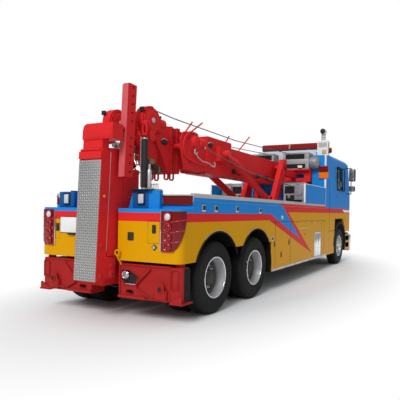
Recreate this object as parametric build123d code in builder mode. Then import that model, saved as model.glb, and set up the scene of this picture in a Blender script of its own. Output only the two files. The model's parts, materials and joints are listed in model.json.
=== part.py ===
"""Three-axle heavy recovery truck with a telescopic boom and a folding underlift.

Millimetres. +X points forward, +Y to the truck's left and +Z up. The origin lies on the ground
under the middle of the truck's bounding box.
"""

import os
from math import cos, hypot, pi, radians, sin, tan

from build123d import *

# ---------------------------------------------------------------- driving sizes
half_length = 4925  # from the origin to the bumper's face and to the underlift's tail
bumper_depth = 200
tail_plate_depth = 370  # how far the underlift stands behind the rear boxes
body_half_width = 1245
running_gap = 0.3  # between faces that touch but belong to different pieces
panel_gap = 4  # shut line round a door

# wheels and axles
tyre_radius = 525
tyre_width = 280
tyre_outer_y = 1230
rim_radius = 298
twin_gap = 70
spindle_radius = 45
cab_front_x = half_length - bumper_depth
front_overhang = 1200
front_axle_x = cab_front_x - front_overhang
ledge_rear_x = tail_plate_depth - half_length
rear_overhang = 920
axle_spacing = 1320
rearmost_x = ledge_rear_x + rear_overhang
rear_axle_xs = (rearmost_x, rearmost_x + axle_spacing)
kingpin_y = 900
kingpin_radius = 20
axle_z = tyre_radius

# ladder frame
rail_inner_y = 350
rail_outer_y = 430
rail_bottom_z = 700
rail_top_z = 980
rail_rear_x = ledge_rear_x + 395
rail_front_x = cab_front_x - 125
rail_web = 12

# body panels
rear_box_depth = 280
deck_rear_x = ledge_rear_x + rear_box_depth
deck_top_z = 1695
deck_thickness = 95
ledge_top_z = 1500
cab_rear_x = front_axle_x - 1145
locker_front_x = cab_rear_x - 405
sill_z = 370
box_bottom_z = 800
between_arches_z = 930
locker_rear_x = rear_axle_xs[1] + 665
body_inner_y = 560
mast_slot_half = 235
arch_radius = 655
arch_shift_x = 40

# cab
cab_floor_z = 1320
cab_floor_thickness = 50
cab_wall = 50
cab_roof_edge_z = 3050
cab_roof_crown_z = 3200
door_rear_x = front_axle_x - 575
door_front_x = front_axle_x + 535
door_bottom_z = 1335
door_hinge_x = door_front_x + 6
hinge_pin_radius = 5.5
door_top_z = 2890
cab_pivot = (cab_front_x - 65, 800)

# boom, in its stowed level position
boom_pivot = (locker_front_x - 955, 2600)
boom_half_width = 200
boom_bottom_z = 2180
boom_top_z = 2750
boom_heel_x = boom_pivot[0] + 200
boom_rear_x = deck_rear_x + 1095
boom_wall = 20
boom_slide_gap = 6
leg_y = (340, 460)
cylinder_eye = (boom_rear_x + 1320, 2560)
cylinder_base = (cylinder_eye[0] + 1890, 1780)
cylinder_y = 400
cylinder_radius = 75
rod_radius = 45

# underlift
mast_half_width = 200
mast_inner_y = 150
fold_pivot = (305 - half_length, 620)
underlift_lean = 2.7
stinger_half_width = 195
stinger_rear = -270  # from the fold pivot, square to the leaning stinger
stinger_front = -115
stinger_top = 1640
stinger_wall = 12
crossbar_y = (-355, -255)
crossbar_depth = 170
swing_pin_radius = 26
crossbar_length = 1270
crossbar_pivot_height = 1935


def block(x, y, z, mode=Mode.ADD):
    """A box between two x, two y and two z values."""
    with Locations(((x[0] + x[1]) / 2, (y[0] + y[1]) / 2, (z[0] + z[1]) / 2)):
        Box(abs(x[1] - x[0]), abs(y[1] - y[0]), abs(z[1] - z[0]), mode=mode)


def side_plate(outline, y, mode=Mode.ADD):
    """An outline of (x, z) points, as thick as the two y values say."""
    low, high = sorted(y)
    with BuildSketch(Plane.XZ.offset(-high)) as profile:
        with BuildLine():
            Polyline(*outline, close=True)
        make_face()
    extrude(profile.sketch, amount=high - low, mode=mode)


def end_plate(outline, x, mode=Mode.ADD):
    """An outline of (y, z) points, as thick as the two x values say."""
    low, high = sorted(x)
    with BuildSketch(Plane.YZ.offset(low)) as profile:
        with BuildLine():
            Polyline(*outline, close=True)
        make_face()
    extrude(profile.sketch, amount=high - low, mode=mode)


def rod(start, end, radius, mode=Mode.ADD):
    """A round bar from one point to another."""
    way = Vector(*end) - Vector(*start)
    with Locations(Plane(origin=start, z_dir=way)):
        Cylinder(radius, way.length, align=(Align.CENTER, Align.CENTER, Align.MIN), mode=mode)


def cross_pin(x, z, radius, y, mode=Mode.ADD):
    """A round bar along Y."""
    rod((x, min(y), z), (x, max(y), z), radius, mode)


def turned(outline, x, side, z):
    """A ring or disc turned about an axle. Its outline is (radius, distance from the middle)."""
    points = [(radius, side * out) for radius, out in outline]
    with BuildSketch(Plane(origin=(x, 0, z), x_dir=(1, 0, 0), z_dir=(0, 0, 1))) as profile:
        with BuildLine():
            Polyline(*points, close=True)
        make_face()
    revolve(profile.sketch, axis=Axis((x, 0, z), (0, 1, 0)))


def save(builder, name):
    builder.part.label = name
    export_step(builder.part, f"parts/{name}.step")


os.makedirs("parts", exist_ok=True)
sides = {"left": 1, "right": -1}

# ---------------------------------------------------------------- ladder frame
rear_mid_x = sum(rear_axle_xs) / 2
gearbox_x = front_axle_x - 1175
crossmember_xs = (rail_rear_x + 210, rear_mid_x, locker_rear_x + 150, 0, 1300, gearbox_x - 150)
pivot_x, pivot_z = cab_pivot
cab_rest_x = (cab_rear_x + 140, cab_rear_x + 260)  # ahead of the rear wall's path as the cab tilts
with BuildPart() as chassis_frame:
    for side in sides.values():
        rail_x = (rail_rear_x, rail_front_x)
        block(rail_x, (side * rail_inner_y, side * rail_outer_y), (rail_bottom_z, rail_top_z))
        block(
            rail_x,
            (side * (rail_inner_y - 1), side * (rail_outer_y - rail_web)),
            (rail_bottom_z + rail_web, rail_top_z - rail_web),
            Mode.SUBTRACT,
        )
    for x in crossmember_xs:
        block((x - 60, x + 60), (-rail_outer_y + rail_web, rail_outer_y - rail_web), (800, 968))
    for side in sides.values():
        lug_y = (side * (rail_inner_y + 10), side * rail_outer_y)
        block((pivot_x - 90, pivot_x + 40), lug_y, (rail_bottom_z, pivot_z + 60))
        block((pivot_x - 90, half_length - 185), lug_y, (450, rail_bottom_z))
        cross_pin(pivot_x, pivot_z, 25, (side * (rail_inner_y + 10), side * 500))
        cab_rest_y = (side * rail_inner_y, side * rail_outer_y)
        block(cab_rest_x, cab_rest_y, (rail_top_z, cab_floor_z - running_gap))
save(chassis_frame, "chassis_frame")

# ---------------------------------------------------------------- axles
spring_y = {"front": (355, 425), "rear": (445, 555)}
spindle_inner_y = 855
differential_radius = 215
with BuildPart() as front_axle:
    block((front_axle_x - 45, front_axle_x + 45), (-860, 860), (455, 570))
    for side in sides.values():
        seat_y = [side * y for y in spring_y["front"]]
        block((front_axle_x - 90, front_axle_x + 90), seat_y, (455, 600))
        with Locations((front_axle_x, side * kingpin_y, axle_z)):
            Cylinder(55, 140)
            Cylinder(kingpin_radius + running_gap, 140, mode=Mode.SUBTRACT)
save(front_axle, "front_axle")

with BuildPart() as rear_axles:
    for x in rear_axle_xs:
        cross_pin(x, axle_z, 75, (-spindle_inner_y, spindle_inner_y))
        cross_pin(x, axle_z, spindle_radius, (-995, 995))
        with Locations((x, 0, axle_z)):
            Sphere(differential_radius)
        for side in sides.values():
            seat_y = [side * y for y in spring_y["rear"]]
            block((x - 95, x + 95), seat_y, (axle_z, 600))
save(rear_axles, "rear_axles")

with BuildPart() as springs:
    for side in sides.values():
        seat = 600 + running_gap
        front_y = [side * y for y in spring_y["front"]]
        under_rail = rail_bottom_z - running_gap
        side_plate(
            [
                (front_axle_x - 640, under_rail),
                (front_axle_x - 640, 650),
                (front_axle_x - 100, seat),
                (front_axle_x + 100, seat),
                (front_axle_x + 640, 650),
                (front_axle_x + 640, under_rail),
                (front_axle_x + 590, under_rail),
                (front_axle_x + 100, 650),
                (front_axle_x - 100, 650),
                (front_axle_x - 590, under_rail),
            ],
            front_y,
        )
        rear_y = [side * y for y in spring_y["rear"]]
        side_plate(
            [
                (rear_axle_xs[0] - 100, seat),
                (rear_axle_xs[0] + 100, seat),
                (rear_mid_x, 690),
                (rear_axle_xs[1] - 100, seat),
                (rear_axle_xs[1] + 100, seat),
                (rear_axle_xs[1] + 100, 640),
                (rear_mid_x + 100, 800),
                (rear_mid_x - 100, 800),
                (rear_axle_xs[0] - 100, 640),
            ],
            rear_y,
        )
        trunnion_y = (side * (rail_outer_y + running_gap), side * spring_y["rear"][1])
        block((rear_mid_x - 90, rear_mid_x + 90), trunnion_y, (720, 900))
save(springs, "springs")

engine_x = (front_axle_x - 675, front_axle_x + 675)
with BuildPart() as driveline:
    block(engine_x, (-320, 320), (660, 1250))
    rod((gearbox_x, 0, 820), (engine_x[0] + 1, 0, 820), 150)
    for side in sides.values():
        mount_y = (side * 319, side * (rail_outer_y - rail_web - running_gap))
        block((front_axle_x - 225, front_axle_x - 105), mount_y, (800, 880))
    housing = differential_radius + running_gap
    leading_centre = Vector(rear_axle_xs[1], 0, axle_z)
    output = Vector(gearbox_x + 1, 0, 740)
    start = leading_centre + (output - leading_centre).normalized() * housing
    rod(tuple(start), tuple(output), 50)
    rod((rear_axle_xs[0] + housing, 0, axle_z), (rear_axle_xs[1] - housing, 0, axle_z), 45)
save(driveline, "driveline")

# ---------------------------------------------------------------- wheels
tyre_inner_y = tyre_outer_y - tyre_width
tyre_side_count = 36
shoulder_drop = 35
shoulder_width = 28
bore = rim_radius + 0.5


def ring_section(x, y, across, count=tyre_side_count):
    """A many-sided outline square to an axle, flat side down, `across` from centre to flat."""
    with BuildSketch(Plane(origin=(x, y, axle_z), x_dir=(1, 0, 0), z_dir=(0, -1, 0))) as section:
        RegularPolygon(across, count, major_radius=False, rotation=180 / count)
    return section.sketch


def tyre_ring(x, side, outer):
    """A tyre with flat facets and bevelled shoulders, its outer face `outer` from the middle."""
    inner = outer - tyre_width
    outline = [  # distance from the middle, radius
        (inner, tyre_radius - shoulder_drop),
        (inner + shoulder_width, tyre_radius),
        (outer - shoulder_width, tyre_radius),
        (outer, tyre_radius - shoulder_drop),
    ]
    loft([ring_section(x, side * y, radius) for y, radius in outline], ruled=True)
    hole = [ring_section(x, side * y, bore) for y in (inner - 1, outer + 1)]
    loft(hole, ruled=True, mode=Mode.SUBTRACT)


def hand_holes(x, side, count, circle, radius, y):
    """A circle of round holes through a wheel disc."""
    for n in range(count):
        angle = 2 * pi * n / count
        centre = (x + circle * cos(angle), axle_z + circle * sin(angle))
        cross_pin(*centre, radius, (side * y[0], side * y[1]), Mode.SUBTRACT)


front_rim = [
    (rim_radius, tyre_inner_y + 15),
    (rim_radius, tyre_outer_y - 15),
    (284, tyre_outer_y - 15),
    (284, 1135),
    (225, 1160),
    (105, 1170),
    (95, 1222),
    (0, 1226),
    (0, 1120),
    (spindle_radius + running_gap, 1120),
    (spindle_radius + running_gap, 1010),
    (205, 1010),
    (205, 1115),
    (284, 1100),
    (284, tyre_inner_y + 15),
]
hand_hole_count = 10
twin_inner_y = tyre_inner_y - twin_gap - tyre_width
twin_middle_y = tyre_inner_y - twin_gap / 2
rear_rim = [
    (rim_radius, twin_inner_y + 4),
    (rim_radius, tyre_outer_y - 4),
    (284, tyre_outer_y - 4),
    (284, twin_middle_y + 30),
    (150, twin_middle_y + 15),
    (150, 1000),
    (115, 1010),
    (105, 1130),
    (0, 1135),
    (0, 1000),
    (spindle_radius + running_gap, 1000),
    (spindle_radius + running_gap, spindle_inner_y + 5),
    (150, spindle_inner_y + 5),
    (150, twin_middle_y - 10),
    (284, twin_middle_y - 10),
    (284, twin_inner_y + 4),
]
for side_name, side in sides.items():
    with BuildPart() as tyre:
        tyre_ring(front_axle_x, side, tyre_outer_y)
    save(tyre, f"front_tyre_{side_name}")
    with BuildPart() as rim:
        turned(front_rim, front_axle_x, side, axle_z)
        hand_holes(front_axle_x, side, hand_hole_count, 245, 18, (1080, 1180))
    save(rim, f"front_rim_{side_name}")
    for axle_name, x in zip(("rearmost", "leading"), rear_axle_xs):
        with BuildPart() as tyres:
            tyre_ring(x, side, tyre_outer_y)
            tyre_ring(x, side, tyre_inner_y - twin_gap)
        save(tyres, f"{axle_name}_tyres_{side_name}")
        with BuildPart() as rim:
            turned(rear_rim, x, side, axle_z)
            through_disc = (twin_middle_y - 30, twin_middle_y + 50)
            hand_holes(x, side, hand_hole_count, 217, 28, through_disc)
        save(rim, f"{axle_name}_rims_{side_name}")
    with BuildPart() as knuckle:
        for z in ((410, 450), (600, 640)):
            block((front_axle_x - 50, front_axle_x + 50), (side * 850, side * 1000), z)
        block((front_axle_x - 50, front_axle_x + 50), (side * 961, side * 1000), (410, 640))
        cross_pin(front_axle_x, axle_z, spindle_radius, (side * 1000, side * 1115))
        rod((front_axle_x, side * kingpin_y, 410), (front_axle_x, side * kingpin_y, 640), kingpin_radius)
    save(knuckle, f"knuckle_{side_name}")

# ---------------------------------------------------------------- cab
cab_arch_x = (front_axle_x - 585, front_axle_x + 355)
step_rear_x = cab_front_x - 560
cab_profile = [
    (cab_rear_x, 1000),
    (cab_arch_x[0] - 40, 1000),
    (cab_arch_x[0], cab_floor_z),
    (cab_arch_x[1], cab_floor_z),
    (step_rear_x, 1030),
    (step_rear_x, 920),
    (cab_front_x, 920),
    (cab_front_x, 1900),
    (cab_front_x - 125, 2850),
    (cab_front_x - 285, 3150),
    (cab_front_x - 525, cab_roof_crown_z),
    (cab_rear_x, cab_roof_crown_z),
]
inner_front_x = cab_front_x - cab_wall
inner_profile = [
    (cab_rear_x + cab_wall, cab_floor_z + cab_floor_thickness),
    (inner_front_x, cab_floor_z + cab_floor_thickness),
    (inner_front_x, 1897),
    (cab_front_x - 174, 2840),
    (cab_front_x - 325, 3100),
    (cab_front_x - 535, cab_roof_crown_z - cab_wall),
    (cab_rear_x + cab_wall, cab_roof_crown_z - cab_wall),
]
shoulder_z = 2100
roof_half_width = body_half_width - 40


def cab_section(shrink):
    """Half-width and height points of the cab seen from the front, walls moved in by shrink."""
    half = [
        (body_half_width - shrink, 900),
        (body_half_width - shrink, shoulder_z),
        (roof_half_width - shrink, 2990),
        (1130 - shrink, cab_roof_edge_z + 25 - shrink / 2),
        (700, cab_roof_crown_z - 15 - shrink),
    ]
    top = [(0, cab_roof_crown_z - shrink)]
    return half + top + [(-y, z) for y, z in reversed(half)]


door_outline = [
    (door_rear_x, door_bottom_z),
    (door_front_x, door_bottom_z),
    (door_front_x, 2300),
    (door_front_x - 100, door_top_z),
    (door_rear_x, door_top_z),
]
door_hole = [
    (door_rear_x - panel_gap, door_bottom_z - panel_gap),
    (door_front_x + panel_gap, door_bottom_z - panel_gap),
    (door_front_x + panel_gap, 2300),
    (door_front_x - 100 + panel_gap, door_top_z + panel_gap),
    (door_rear_x - panel_gap, door_top_z + panel_gap),
]
window_x = (door_rear_x + 180, door_front_x - 85)
window_z = (2150, door_top_z - 90)
window_outline = [
    (window_x[0], window_z[0]),
    (window_x[1], window_z[0]),
    (window_x[1], 2290),
    (window_x[1] - 85, window_z[1]),
    (window_x[0], window_z[1]),
]
window_shrink = running_gap
glass_outline = [
    (window_x[0] + window_shrink, window_z[0] + window_shrink),
    (window_x[1] - window_shrink, window_z[0] + window_shrink),
    (window_x[1] - window_shrink, 2290),
    (window_x[1] - 85 - window_shrink, window_z[1] - window_shrink),
    (window_x[0] + window_shrink, window_z[1] - window_shrink),
]

with BuildPart() as cab_walls:
    side_plate(cab_profile, (-body_half_width, body_half_width))
    end_plate(cab_section(0), (cab_rear_x, cab_front_x), Mode.INTERSECT)
    with BuildPart(mode=Mode.PRIVATE) as room:
        side_plate(inner_profile, (-body_half_width, body_half_width))
        end_plate(cab_section(cab_wall), (cab_rear_x, cab_front_x), Mode.INTERSECT)
    add(room.part, mode=Mode.SUBTRACT)
    inner_y = body_half_width - cab_wall
    block((cab_rear_x + cab_wall, cab_arch_x[0] + 1), (-inner_y, inner_y), (900, cab_floor_z), Mode.SUBTRACT)
    block((cab_arch_x[1] - 1, inner_front_x), (-inner_y, inner_y), (900, cab_floor_z), Mode.SUBTRACT)


screen_half_width = body_half_width - 135
screen_z = (1980, 2770)
screen_x = (cab_front_x - 225, cab_front_x + 75)


def screen_outline(gap):
    """The windscreen's (y, z) outline, moved in by a gap."""
    low, high = screen_z[0] + gap, screen_z[1] - gap
    foot = screen_half_width - gap
    return [(-foot, low), (foot, low), (foot - 50, high), (50 - foot, high)]


with BuildPart() as cab_shell:
    add(cab_walls.part)
    for side in sides.values():
        outer = side * (body_half_width + 10)
        side_plate(door_hole, (side * (body_half_width - 145), outer), Mode.SUBTRACT)
        for z in (1480, 2180):
            foot = (door_hinge_x, side * body_half_width, z)
            rod(foot, (door_hinge_x, side * body_half_width, z + 110), hinge_pin_radius)
        arm_y = (side * 440, side * 500)
        block((pivot_x - 60, inner_front_x + 1), arm_y, (pivot_z - 60, cab_floor_z + 1))
        cross_pin(pivot_x, pivot_z, 25 + running_gap, (side * 430, side * 510), Mode.SUBTRACT)
    end_plate(screen_outline(0), screen_x, Mode.SUBTRACT)
    visor = [
        (cab_front_x - 150, 2870),
        (cab_front_x + 45, 2800),
        (cab_front_x + 45, 2815),
        (cab_front_x - 165, 2915),
    ]
    side_plate(visor, (-screen_half_width, screen_half_width))
save(cab_shell, "cab_shell")

with BuildPart() as windscreen:
    pane = [
        (cab_front_x - 25, screen_z[0]),
        (cab_front_x - 17, screen_z[0]),
        (cab_front_x - 121, screen_z[1]),
        (cab_front_x - 129, screen_z[1]),
    ]
    side_plate(pane, (-screen_half_width, screen_half_width))
    end_plate(screen_outline(running_gap), screen_x, Mode.INTERSECT)
save(windscreen, "windscreen")

for side_name, side in sides.items():
    with BuildPart() as door:
        add(cab_walls.part)
        outer = side * (body_half_width + 10)
        side_plate(door_outline, (side * (body_half_width - 145), outer), Mode.INTERSECT)
        side_plate(window_outline, (side * (body_half_width - 145), outer), Mode.SUBTRACT)
        handle_y = (side * (body_half_width - 1), side * (body_half_width + 30))
        block((door_rear_x + 60, door_rear_x + 200), handle_y, (1950, 1985))
    save(door, f"door_{side_name}")
    with BuildPart() as door_glass:
        end_plate(
            [
                (side * (body_half_width - 30), 2100),
                (side * (body_half_width - 24), 2100),
                (side * (body_half_width - 59), 2880),
                (side * (body_half_width - 65), 2880),
            ],
            (window_x[0] - 10, window_x[1] + 10),
        )
        side_plate(glass_outline, (side * (body_half_width - 145), outer), Mode.INTERSECT)
    save(door_glass, f"door_glass_{side_name}")

seat_x = front_axle_x - 475
with BuildPart() as cab_interior:
    floor_top = cab_floor_z + cab_floor_thickness + running_gap
    for side in sides.values():
        seat_y = (side * 330, side * 850)
        block((seat_x, seat_x + 510), seat_y, (floor_top, 1800))
        back = [(seat_x - 110, 1780), (seat_x + 70, 1780), (seat_x - 50, 2520), (seat_x - 190, 2500)]
        side_plate(back, seat_y)
    inside_y = body_half_width - 95
    block((cab_rear_x + 52, cab_rear_x + 420), (-inside_y, inside_y), (floor_top, 1850))
    dash = cab_front_x - 545
    side_plate(
        [
            (dash, floor_top),
            (cab_front_x - 55, floor_top),
            (cab_front_x - 55, 1930),
            (cab_front_x - 165, 1975),
            (dash - 30, 1900),
        ],
        (-inside_y, inside_y),
    )
    rod((dash - 20, 560, 1870), (dash - 190, 560, 2010), 30)
    with Locations(Plane(origin=(dash - 195, 560, 2014), z_dir=(-170, 0, 140))):
        Torus(215, 18)
        Box(400, 40, 14)
save(cab_interior, "cab_interior")

with BuildPart() as grille:
    block((cab_front_x, cab_front_x + 12), (-760, 760), (1020, 1640))
    for n in range(6):
        z = 1060 + n * 95
        block((cab_front_x + 12, cab_front_x + 30), (-730, 730), (z, z + 55))
save(grille, "grille")

mirror_x = cab_front_x - 500
with BuildPart() as mirrors:
    for side in sides.values():
        mirror_y = side * (body_half_width + 205)
        mirror_inner_y = side * (body_half_width + 85)
        stalk_y = side * (body_half_width + 145)
        block((mirror_x - 30, mirror_x + 30), (mirror_inner_y, mirror_y), (2480, 2820))
        block((mirror_x - 30, mirror_x + 30), (mirror_inner_y, mirror_y - side * 10), (2170, 2310))
        cross_pin(mirror_x, 2860, 14, (side * (body_half_width - 33), stalk_y + side * 10))
        cross_pin(mirror_x, 2080, 14, (side * (body_half_width + running_gap), stalk_y + side * 10))
        rod((mirror_x, stalk_y, 2070), (mirror_x, stalk_y, 2870), 14)
save(mirrors, "mirrors")

bar_x = cab_rear_x + 140
bar_z = (3250, 3430)
with BuildPart() as light_bar:
    block((bar_x, bar_x + 170), (-830, 830), bar_z)
    fillet(light_bar.edges().filter_by(Axis.Y), 40)
    for side in sides.values():
        foot_z = (cab_roof_crown_z - 10.4, bar_z[0] + 1)
        block((bar_x + 40, bar_x + 130), (side * 500, side * 580), foot_z)
save(light_bar, "light_bar")

# ---------------------------------------------------------------- bumper, skirts and lamps
bumper_rear_x = half_length - 185
bumper_z = (300, 830)
with BuildPart() as bumper:
    block((bumper_rear_x, half_length), (-body_half_width, body_half_width), bumper_z)
    corners = bumper.edges().filter_by(Axis.Z).group_by(Axis.X)[-1]
    fillet(corners, 120)
    block((half_length - 30, half_length + 1), (-700, 700), (380, 560), Mode.SUBTRACT)
    for side in sides.values():
        lamp_y = (side * 780, side * 1080)
        block((half_length - 40, half_length + 1), lamp_y, (470, 720), Mode.SUBTRACT)
save(bumper, "bumper")

step_x = (step_rear_x + 5, bumper_rear_x)
guard_radius = 645
with BuildPart() as cab_skirts:
    for side in sides.values():
        outer_y = side * body_half_width
        block(step_x, (side * (body_half_width - 365), outer_y), (350, bumper_z[1]))
        for z in (430, 640):
            tread_x = (step_x[0] + 50, step_x[1] - 50)
            tread_y = (side * (body_half_width - 125), side * (body_half_width + 1))
            block(tread_x, tread_y, (z, z + 150), Mode.SUBTRACT)
        skirt_inner_y = body_half_width - 45
        skirt_x = (cab_rear_x - 45, cab_arch_x[0] - 40)
        block(skirt_x, (side * skirt_inner_y, outer_y), (sill_z, 990))
        bracket_y = (side * (rail_outer_y + running_gap), side * (skirt_inner_y + 1))
        block((cab_rear_x + 20, cab_rear_x + 170), bracket_y, (700, 780))
save(cab_skirts, "cab_skirts")

with BuildPart() as front_mudguards:
    for side in sides.values():
        with BuildSketch(Plane.XZ.offset(-max(side * 620, side * 1200))) as guard:
            with Locations((front_axle_x, axle_z)):
                Circle(guard_radius + 15)
                Circle(guard_radius, mode=Mode.SUBTRACT)
                with Locations((0, -300)):
                    Rectangle(1500, 900, mode=Mode.SUBTRACT)
        extrude(guard.sketch, amount=580)
        block(
            (front_axle_x - 120, front_axle_x + 120),
            (side * (rail_outer_y + running_gap), side * 621),
            (900, 960),
        )
        block((front_axle_x - 120, front_axle_x + 120), (side * 600, side * 621), (900, 1172))
save(front_mudguards, "front_mudguards")

# ---------------------------------------------------------------- body sides, deck and rear boxes
arch_centres = [(x + arch_shift_x, axle_z + 5) for x in rear_axle_xs]
deck_bottom_z = deck_top_z - deck_thickness
with BuildPart() as side_bodies:
    for side in sides.values():
        body_y = (side * body_inner_y, side * body_half_width)
        block((deck_rear_x, locker_front_x), body_y, (between_arches_z, deck_bottom_z))
        block((deck_rear_x, deck_rear_x + 150), body_y, (box_bottom_z, between_arches_z))
        block((locker_rear_x, locker_front_x), body_y, (sill_z, between_arches_z))
        for x, z in arch_centres:
            cross_pin(x, z, arch_radius, (side * (body_inner_y - 1), side * (body_half_width + 1)), Mode.SUBTRACT)
        arm_y = (side * (rail_outer_y + running_gap), side * (body_inner_y + 1))
        for x in (-1400, 0, 1500):
            block((x - 60, x + 60), arm_y, (820, 960))
save(side_bodies, "side_bodies")

post_radius = 42  # a standing valve column behind the crossbar
post_x = deck_rear_x + post_radius
with BuildPart() as deck:
    block((deck_rear_x, locker_front_x), (-body_half_width, body_half_width), (deck_bottom_z, deck_top_z))
    block((deck_rear_x - 1, -4050), (-mast_slot_half, mast_slot_half), (deck_bottom_z - 1, deck_top_z + 1), Mode.SUBTRACT)
    for side in sides.values():
        for x in (-3900, -2000, 0, 1800):
            block(
                (x - 60, x + 60),
                (side * rail_inner_y, side * rail_outer_y),
                (rail_top_z + running_gap, deck_bottom_z),
            )
    rod((post_x, -400, deck_top_z - 1), (post_x, -400, 2480), post_radius)
    block((post_x - 38, post_x + 90), (-640, -340), (deck_top_z, deck_top_z + 70))
save(deck, "deck")

box_corner_radius = 110
with BuildPart() as rear_boxes:
    for side in sides.values():
        block(
            (ledge_rear_x, deck_rear_x),
            (side * mast_slot_half, side * body_half_width),
            (box_bottom_z, ledge_top_z),
        )
    corner_edges = rear_boxes.edges().filter_by(Axis.Z).group_by(Axis.X)[0]
    fillet([e for e in corner_edges if abs(e.center().Y) > body_half_width - 1], box_corner_radius)
    for side in sides.values():
        block((deck_rear_x - 70, deck_rear_x), (side * 350, side * 755), (ledge_top_z, 1750))
save(rear_boxes, "rear_boxes")

lamp_depth = 14
cluster_y = 950
cluster_z = (960, 1470)
round_lamp_y = 1060
round_lamp_radius = 50
round_lamp_zs = (1398, 1265, 1135, 1020)
cluster_taper = ((155, 1330), (113, 1330), (85, 1224), (7, 1023), (-17, 958), (155, 958))  # x from the rear face, z


def lamp_cluster(side):
    """A band of lamps that wraps a rear corner, with round lamps standing on it."""
    corner = (ledge_rear_x + box_corner_radius, side * (body_half_width - box_corner_radius))
    reach = 2 * box_corner_radius
    with BuildSketch(Plane.XY.offset(cluster_z[0])) as band:
        with Locations(corner):
            Circle(box_corner_radius + lamp_depth)
            Circle(box_corner_radius + running_gap, mode=Mode.SUBTRACT)
        with Locations((corner[0] + reach / 2, corner[1])):
            Rectangle(reach, 2 * reach, mode=Mode.SUBTRACT)
        with Locations((corner[0], corner[1] - side * reach / 2)):
            Rectangle(2 * reach, reach, mode=Mode.SUBTRACT)
        with Locations((ledge_rear_x - lamp_depth / 2, (side * cluster_y + corner[1]) / 2)):
            Rectangle(lamp_depth, abs(corner[1]) - cluster_y)
    extrude(band.sketch, amount=cluster_z[1] - cluster_z[0])
    taper = [(ledge_rear_x + x, z) for x, z in cluster_taper]
    side_plate(taper, (side * 1100, side * 1300), Mode.SUBTRACT)
    for z in round_lamp_zs:
        face = (ledge_rear_x - lamp_depth + 1, side * round_lamp_y, z)
        rod(face, (face[0] - 13, face[1], z), round_lamp_radius)


with BuildPart() as lamps:
    for side in sides.values():
        lamp_cluster(side)
        block((deck_rear_x - lamp_depth, deck_rear_x), (side * 770, side * 1235), (1560, 1670))
        block((half_length - 40, half_length - 8), (side * 785, side * 1075), (475, 715))
        block((locker_front_x - 40, locker_front_x), (side * 1060, side * 1300), (2390, 2700))
save(lamps, "lamps")

with BuildPart() as trim:
    for side in sides.values():
        edge = side * body_half_width
        block((deck_rear_x, locker_front_x), (edge, edge + side * 8), (deck_top_z - 40, deck_top_z))
        block((locker_rear_x + 60, locker_front_x), (edge, edge + side * 12), (sill_z, sill_z + 45))
        block((1000, 1540), (edge, edge + side * 10), (sill_z + 50, 1020))
save(trim, "trim")

pylon_x = (locker_front_x, locker_front_x + 350)
pylon_top_z = 3000
with BuildPart() as pylons:
    for side in sides.values():
        block(pylon_x, (side * 860, side * body_half_width), (sill_z, pylon_top_z))
        block((300, locker_front_x + 1), (side * 1215, side * body_half_width), (deck_top_z, 2130))
        block((2040, 2160), (side * (rail_outer_y + running_gap), side * 861), (720, 960))
save(pylons, "pylons")

duct_x = (pylon_x[1] - 135, pylon_x[1])
duct_y = (-1220, -920)
duct_top_z = 3430
duct_mid = (sum(duct_x) / 2, sum(duct_y) / 2)
mouth_radius = 72
with BuildPart() as intake_duct:
    block(duct_x, duct_y, (pylon_top_z, duct_top_z))
    upper_edges = intake_duct.edges().group_by(Axis.Z)[-1]
    chamfer(upper_edges, 28)
    rod((*duct_mid, duct_top_z - 1), (*duct_mid, duct_top_z + 200), 55)
    mouth_z = duct_top_z + 235
    rod((duct_x[1] - 5, duct_mid[1], mouth_z), (duct_x[0] - 15, duct_mid[1], mouth_z), mouth_radius)
    cavity = (duct_x[0] - 16, duct_mid[1], mouth_z)
    rod((duct_x[0] + 60, duct_mid[1], mouth_z), cavity, mouth_radius - 12, Mode.SUBTRACT)
save(intake_duct, "intake_duct")

# ---------------------------------------------------------------- tower and winches
base_x, base_z = cylinder_base
heel_x, heel_z = boom_pivot
with BuildPart() as boom_tower:
    for side in sides.values():
        y = (side * leg_y[0], side * leg_y[1])
        side_plate(
            [(300, deck_top_z), (600, deck_top_z), (1130, 2560), (1130, 2790), (930, 2790)], y
        )
        block((1100, 1840), y, (2400, 2560))
        for lug in ((290, 330), (470, 510)):
            lug_y = (side * lug[0], side * lug[1])
            block((base_x - 80, base_x + 80), lug_y, (deck_top_z, base_z))
            cross_pin(base_x, base_z, 80, lug_y)
        cross_pin(base_x, base_z, 30, (side * 290, side * 510))
        block((1840, 1960), (side * 640, side * 760), (deck_top_z, 2301))
    cross_pin(heel_x, heel_z, 55, (-leg_y[1], leg_y[1]))
    block((1840, 1960), (-850, 850), (2300, 2620))
    block((1720, 2080), (-850, 850), (2590, 2620))
    for side in sides.values():
        with BuildSketch(Plane.YZ.offset(1839)) as slot:
            with Locations((side * 520, 2450)):
                SlotOverall(330, 110)
        extrude(slot.sketch, amount=130, mode=Mode.SUBTRACT)
save(boom_tower, "boom_tower")

# low corner x, z; the drum's length lies across the truck between two y values
winch_table = [  # x, z bottom, y inner, y outer, length, height
    (1720, 2620, 140, 840, 360, 430),
    (720, deck_top_z, 560, 1100, 560, 490),
]
motor_radius = 70
motor_length = 110
with BuildPart() as winches:
    for side in sides.values():
        for x, z, y_in, y_out, length, height in winch_table:
            wall = 60
            low = (side * y_in, side * (y_in + 3 * wall))
            high = (side * (y_out - wall), side * y_out)
            block((x, x + length), low, (z, z + height))
            block((x, x + length), high, (z, z + height))
            block((x, x + length), (side * y_in, side * y_out), (z, z + 30))
            middle = (x + length / 2, z + height * 0.52)
            cross_pin(*middle, height * 0.34, (side * y_in, side * y_out))
            cross_pin(*middle, motor_radius, (side * (y_out - 1), side * (y_out + motor_length)))
            cover_z = (z + height - 25, z + height)
            block((x, x + length), (side * y_in, side * y_out), cover_z)
save(winches, "winches")

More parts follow.
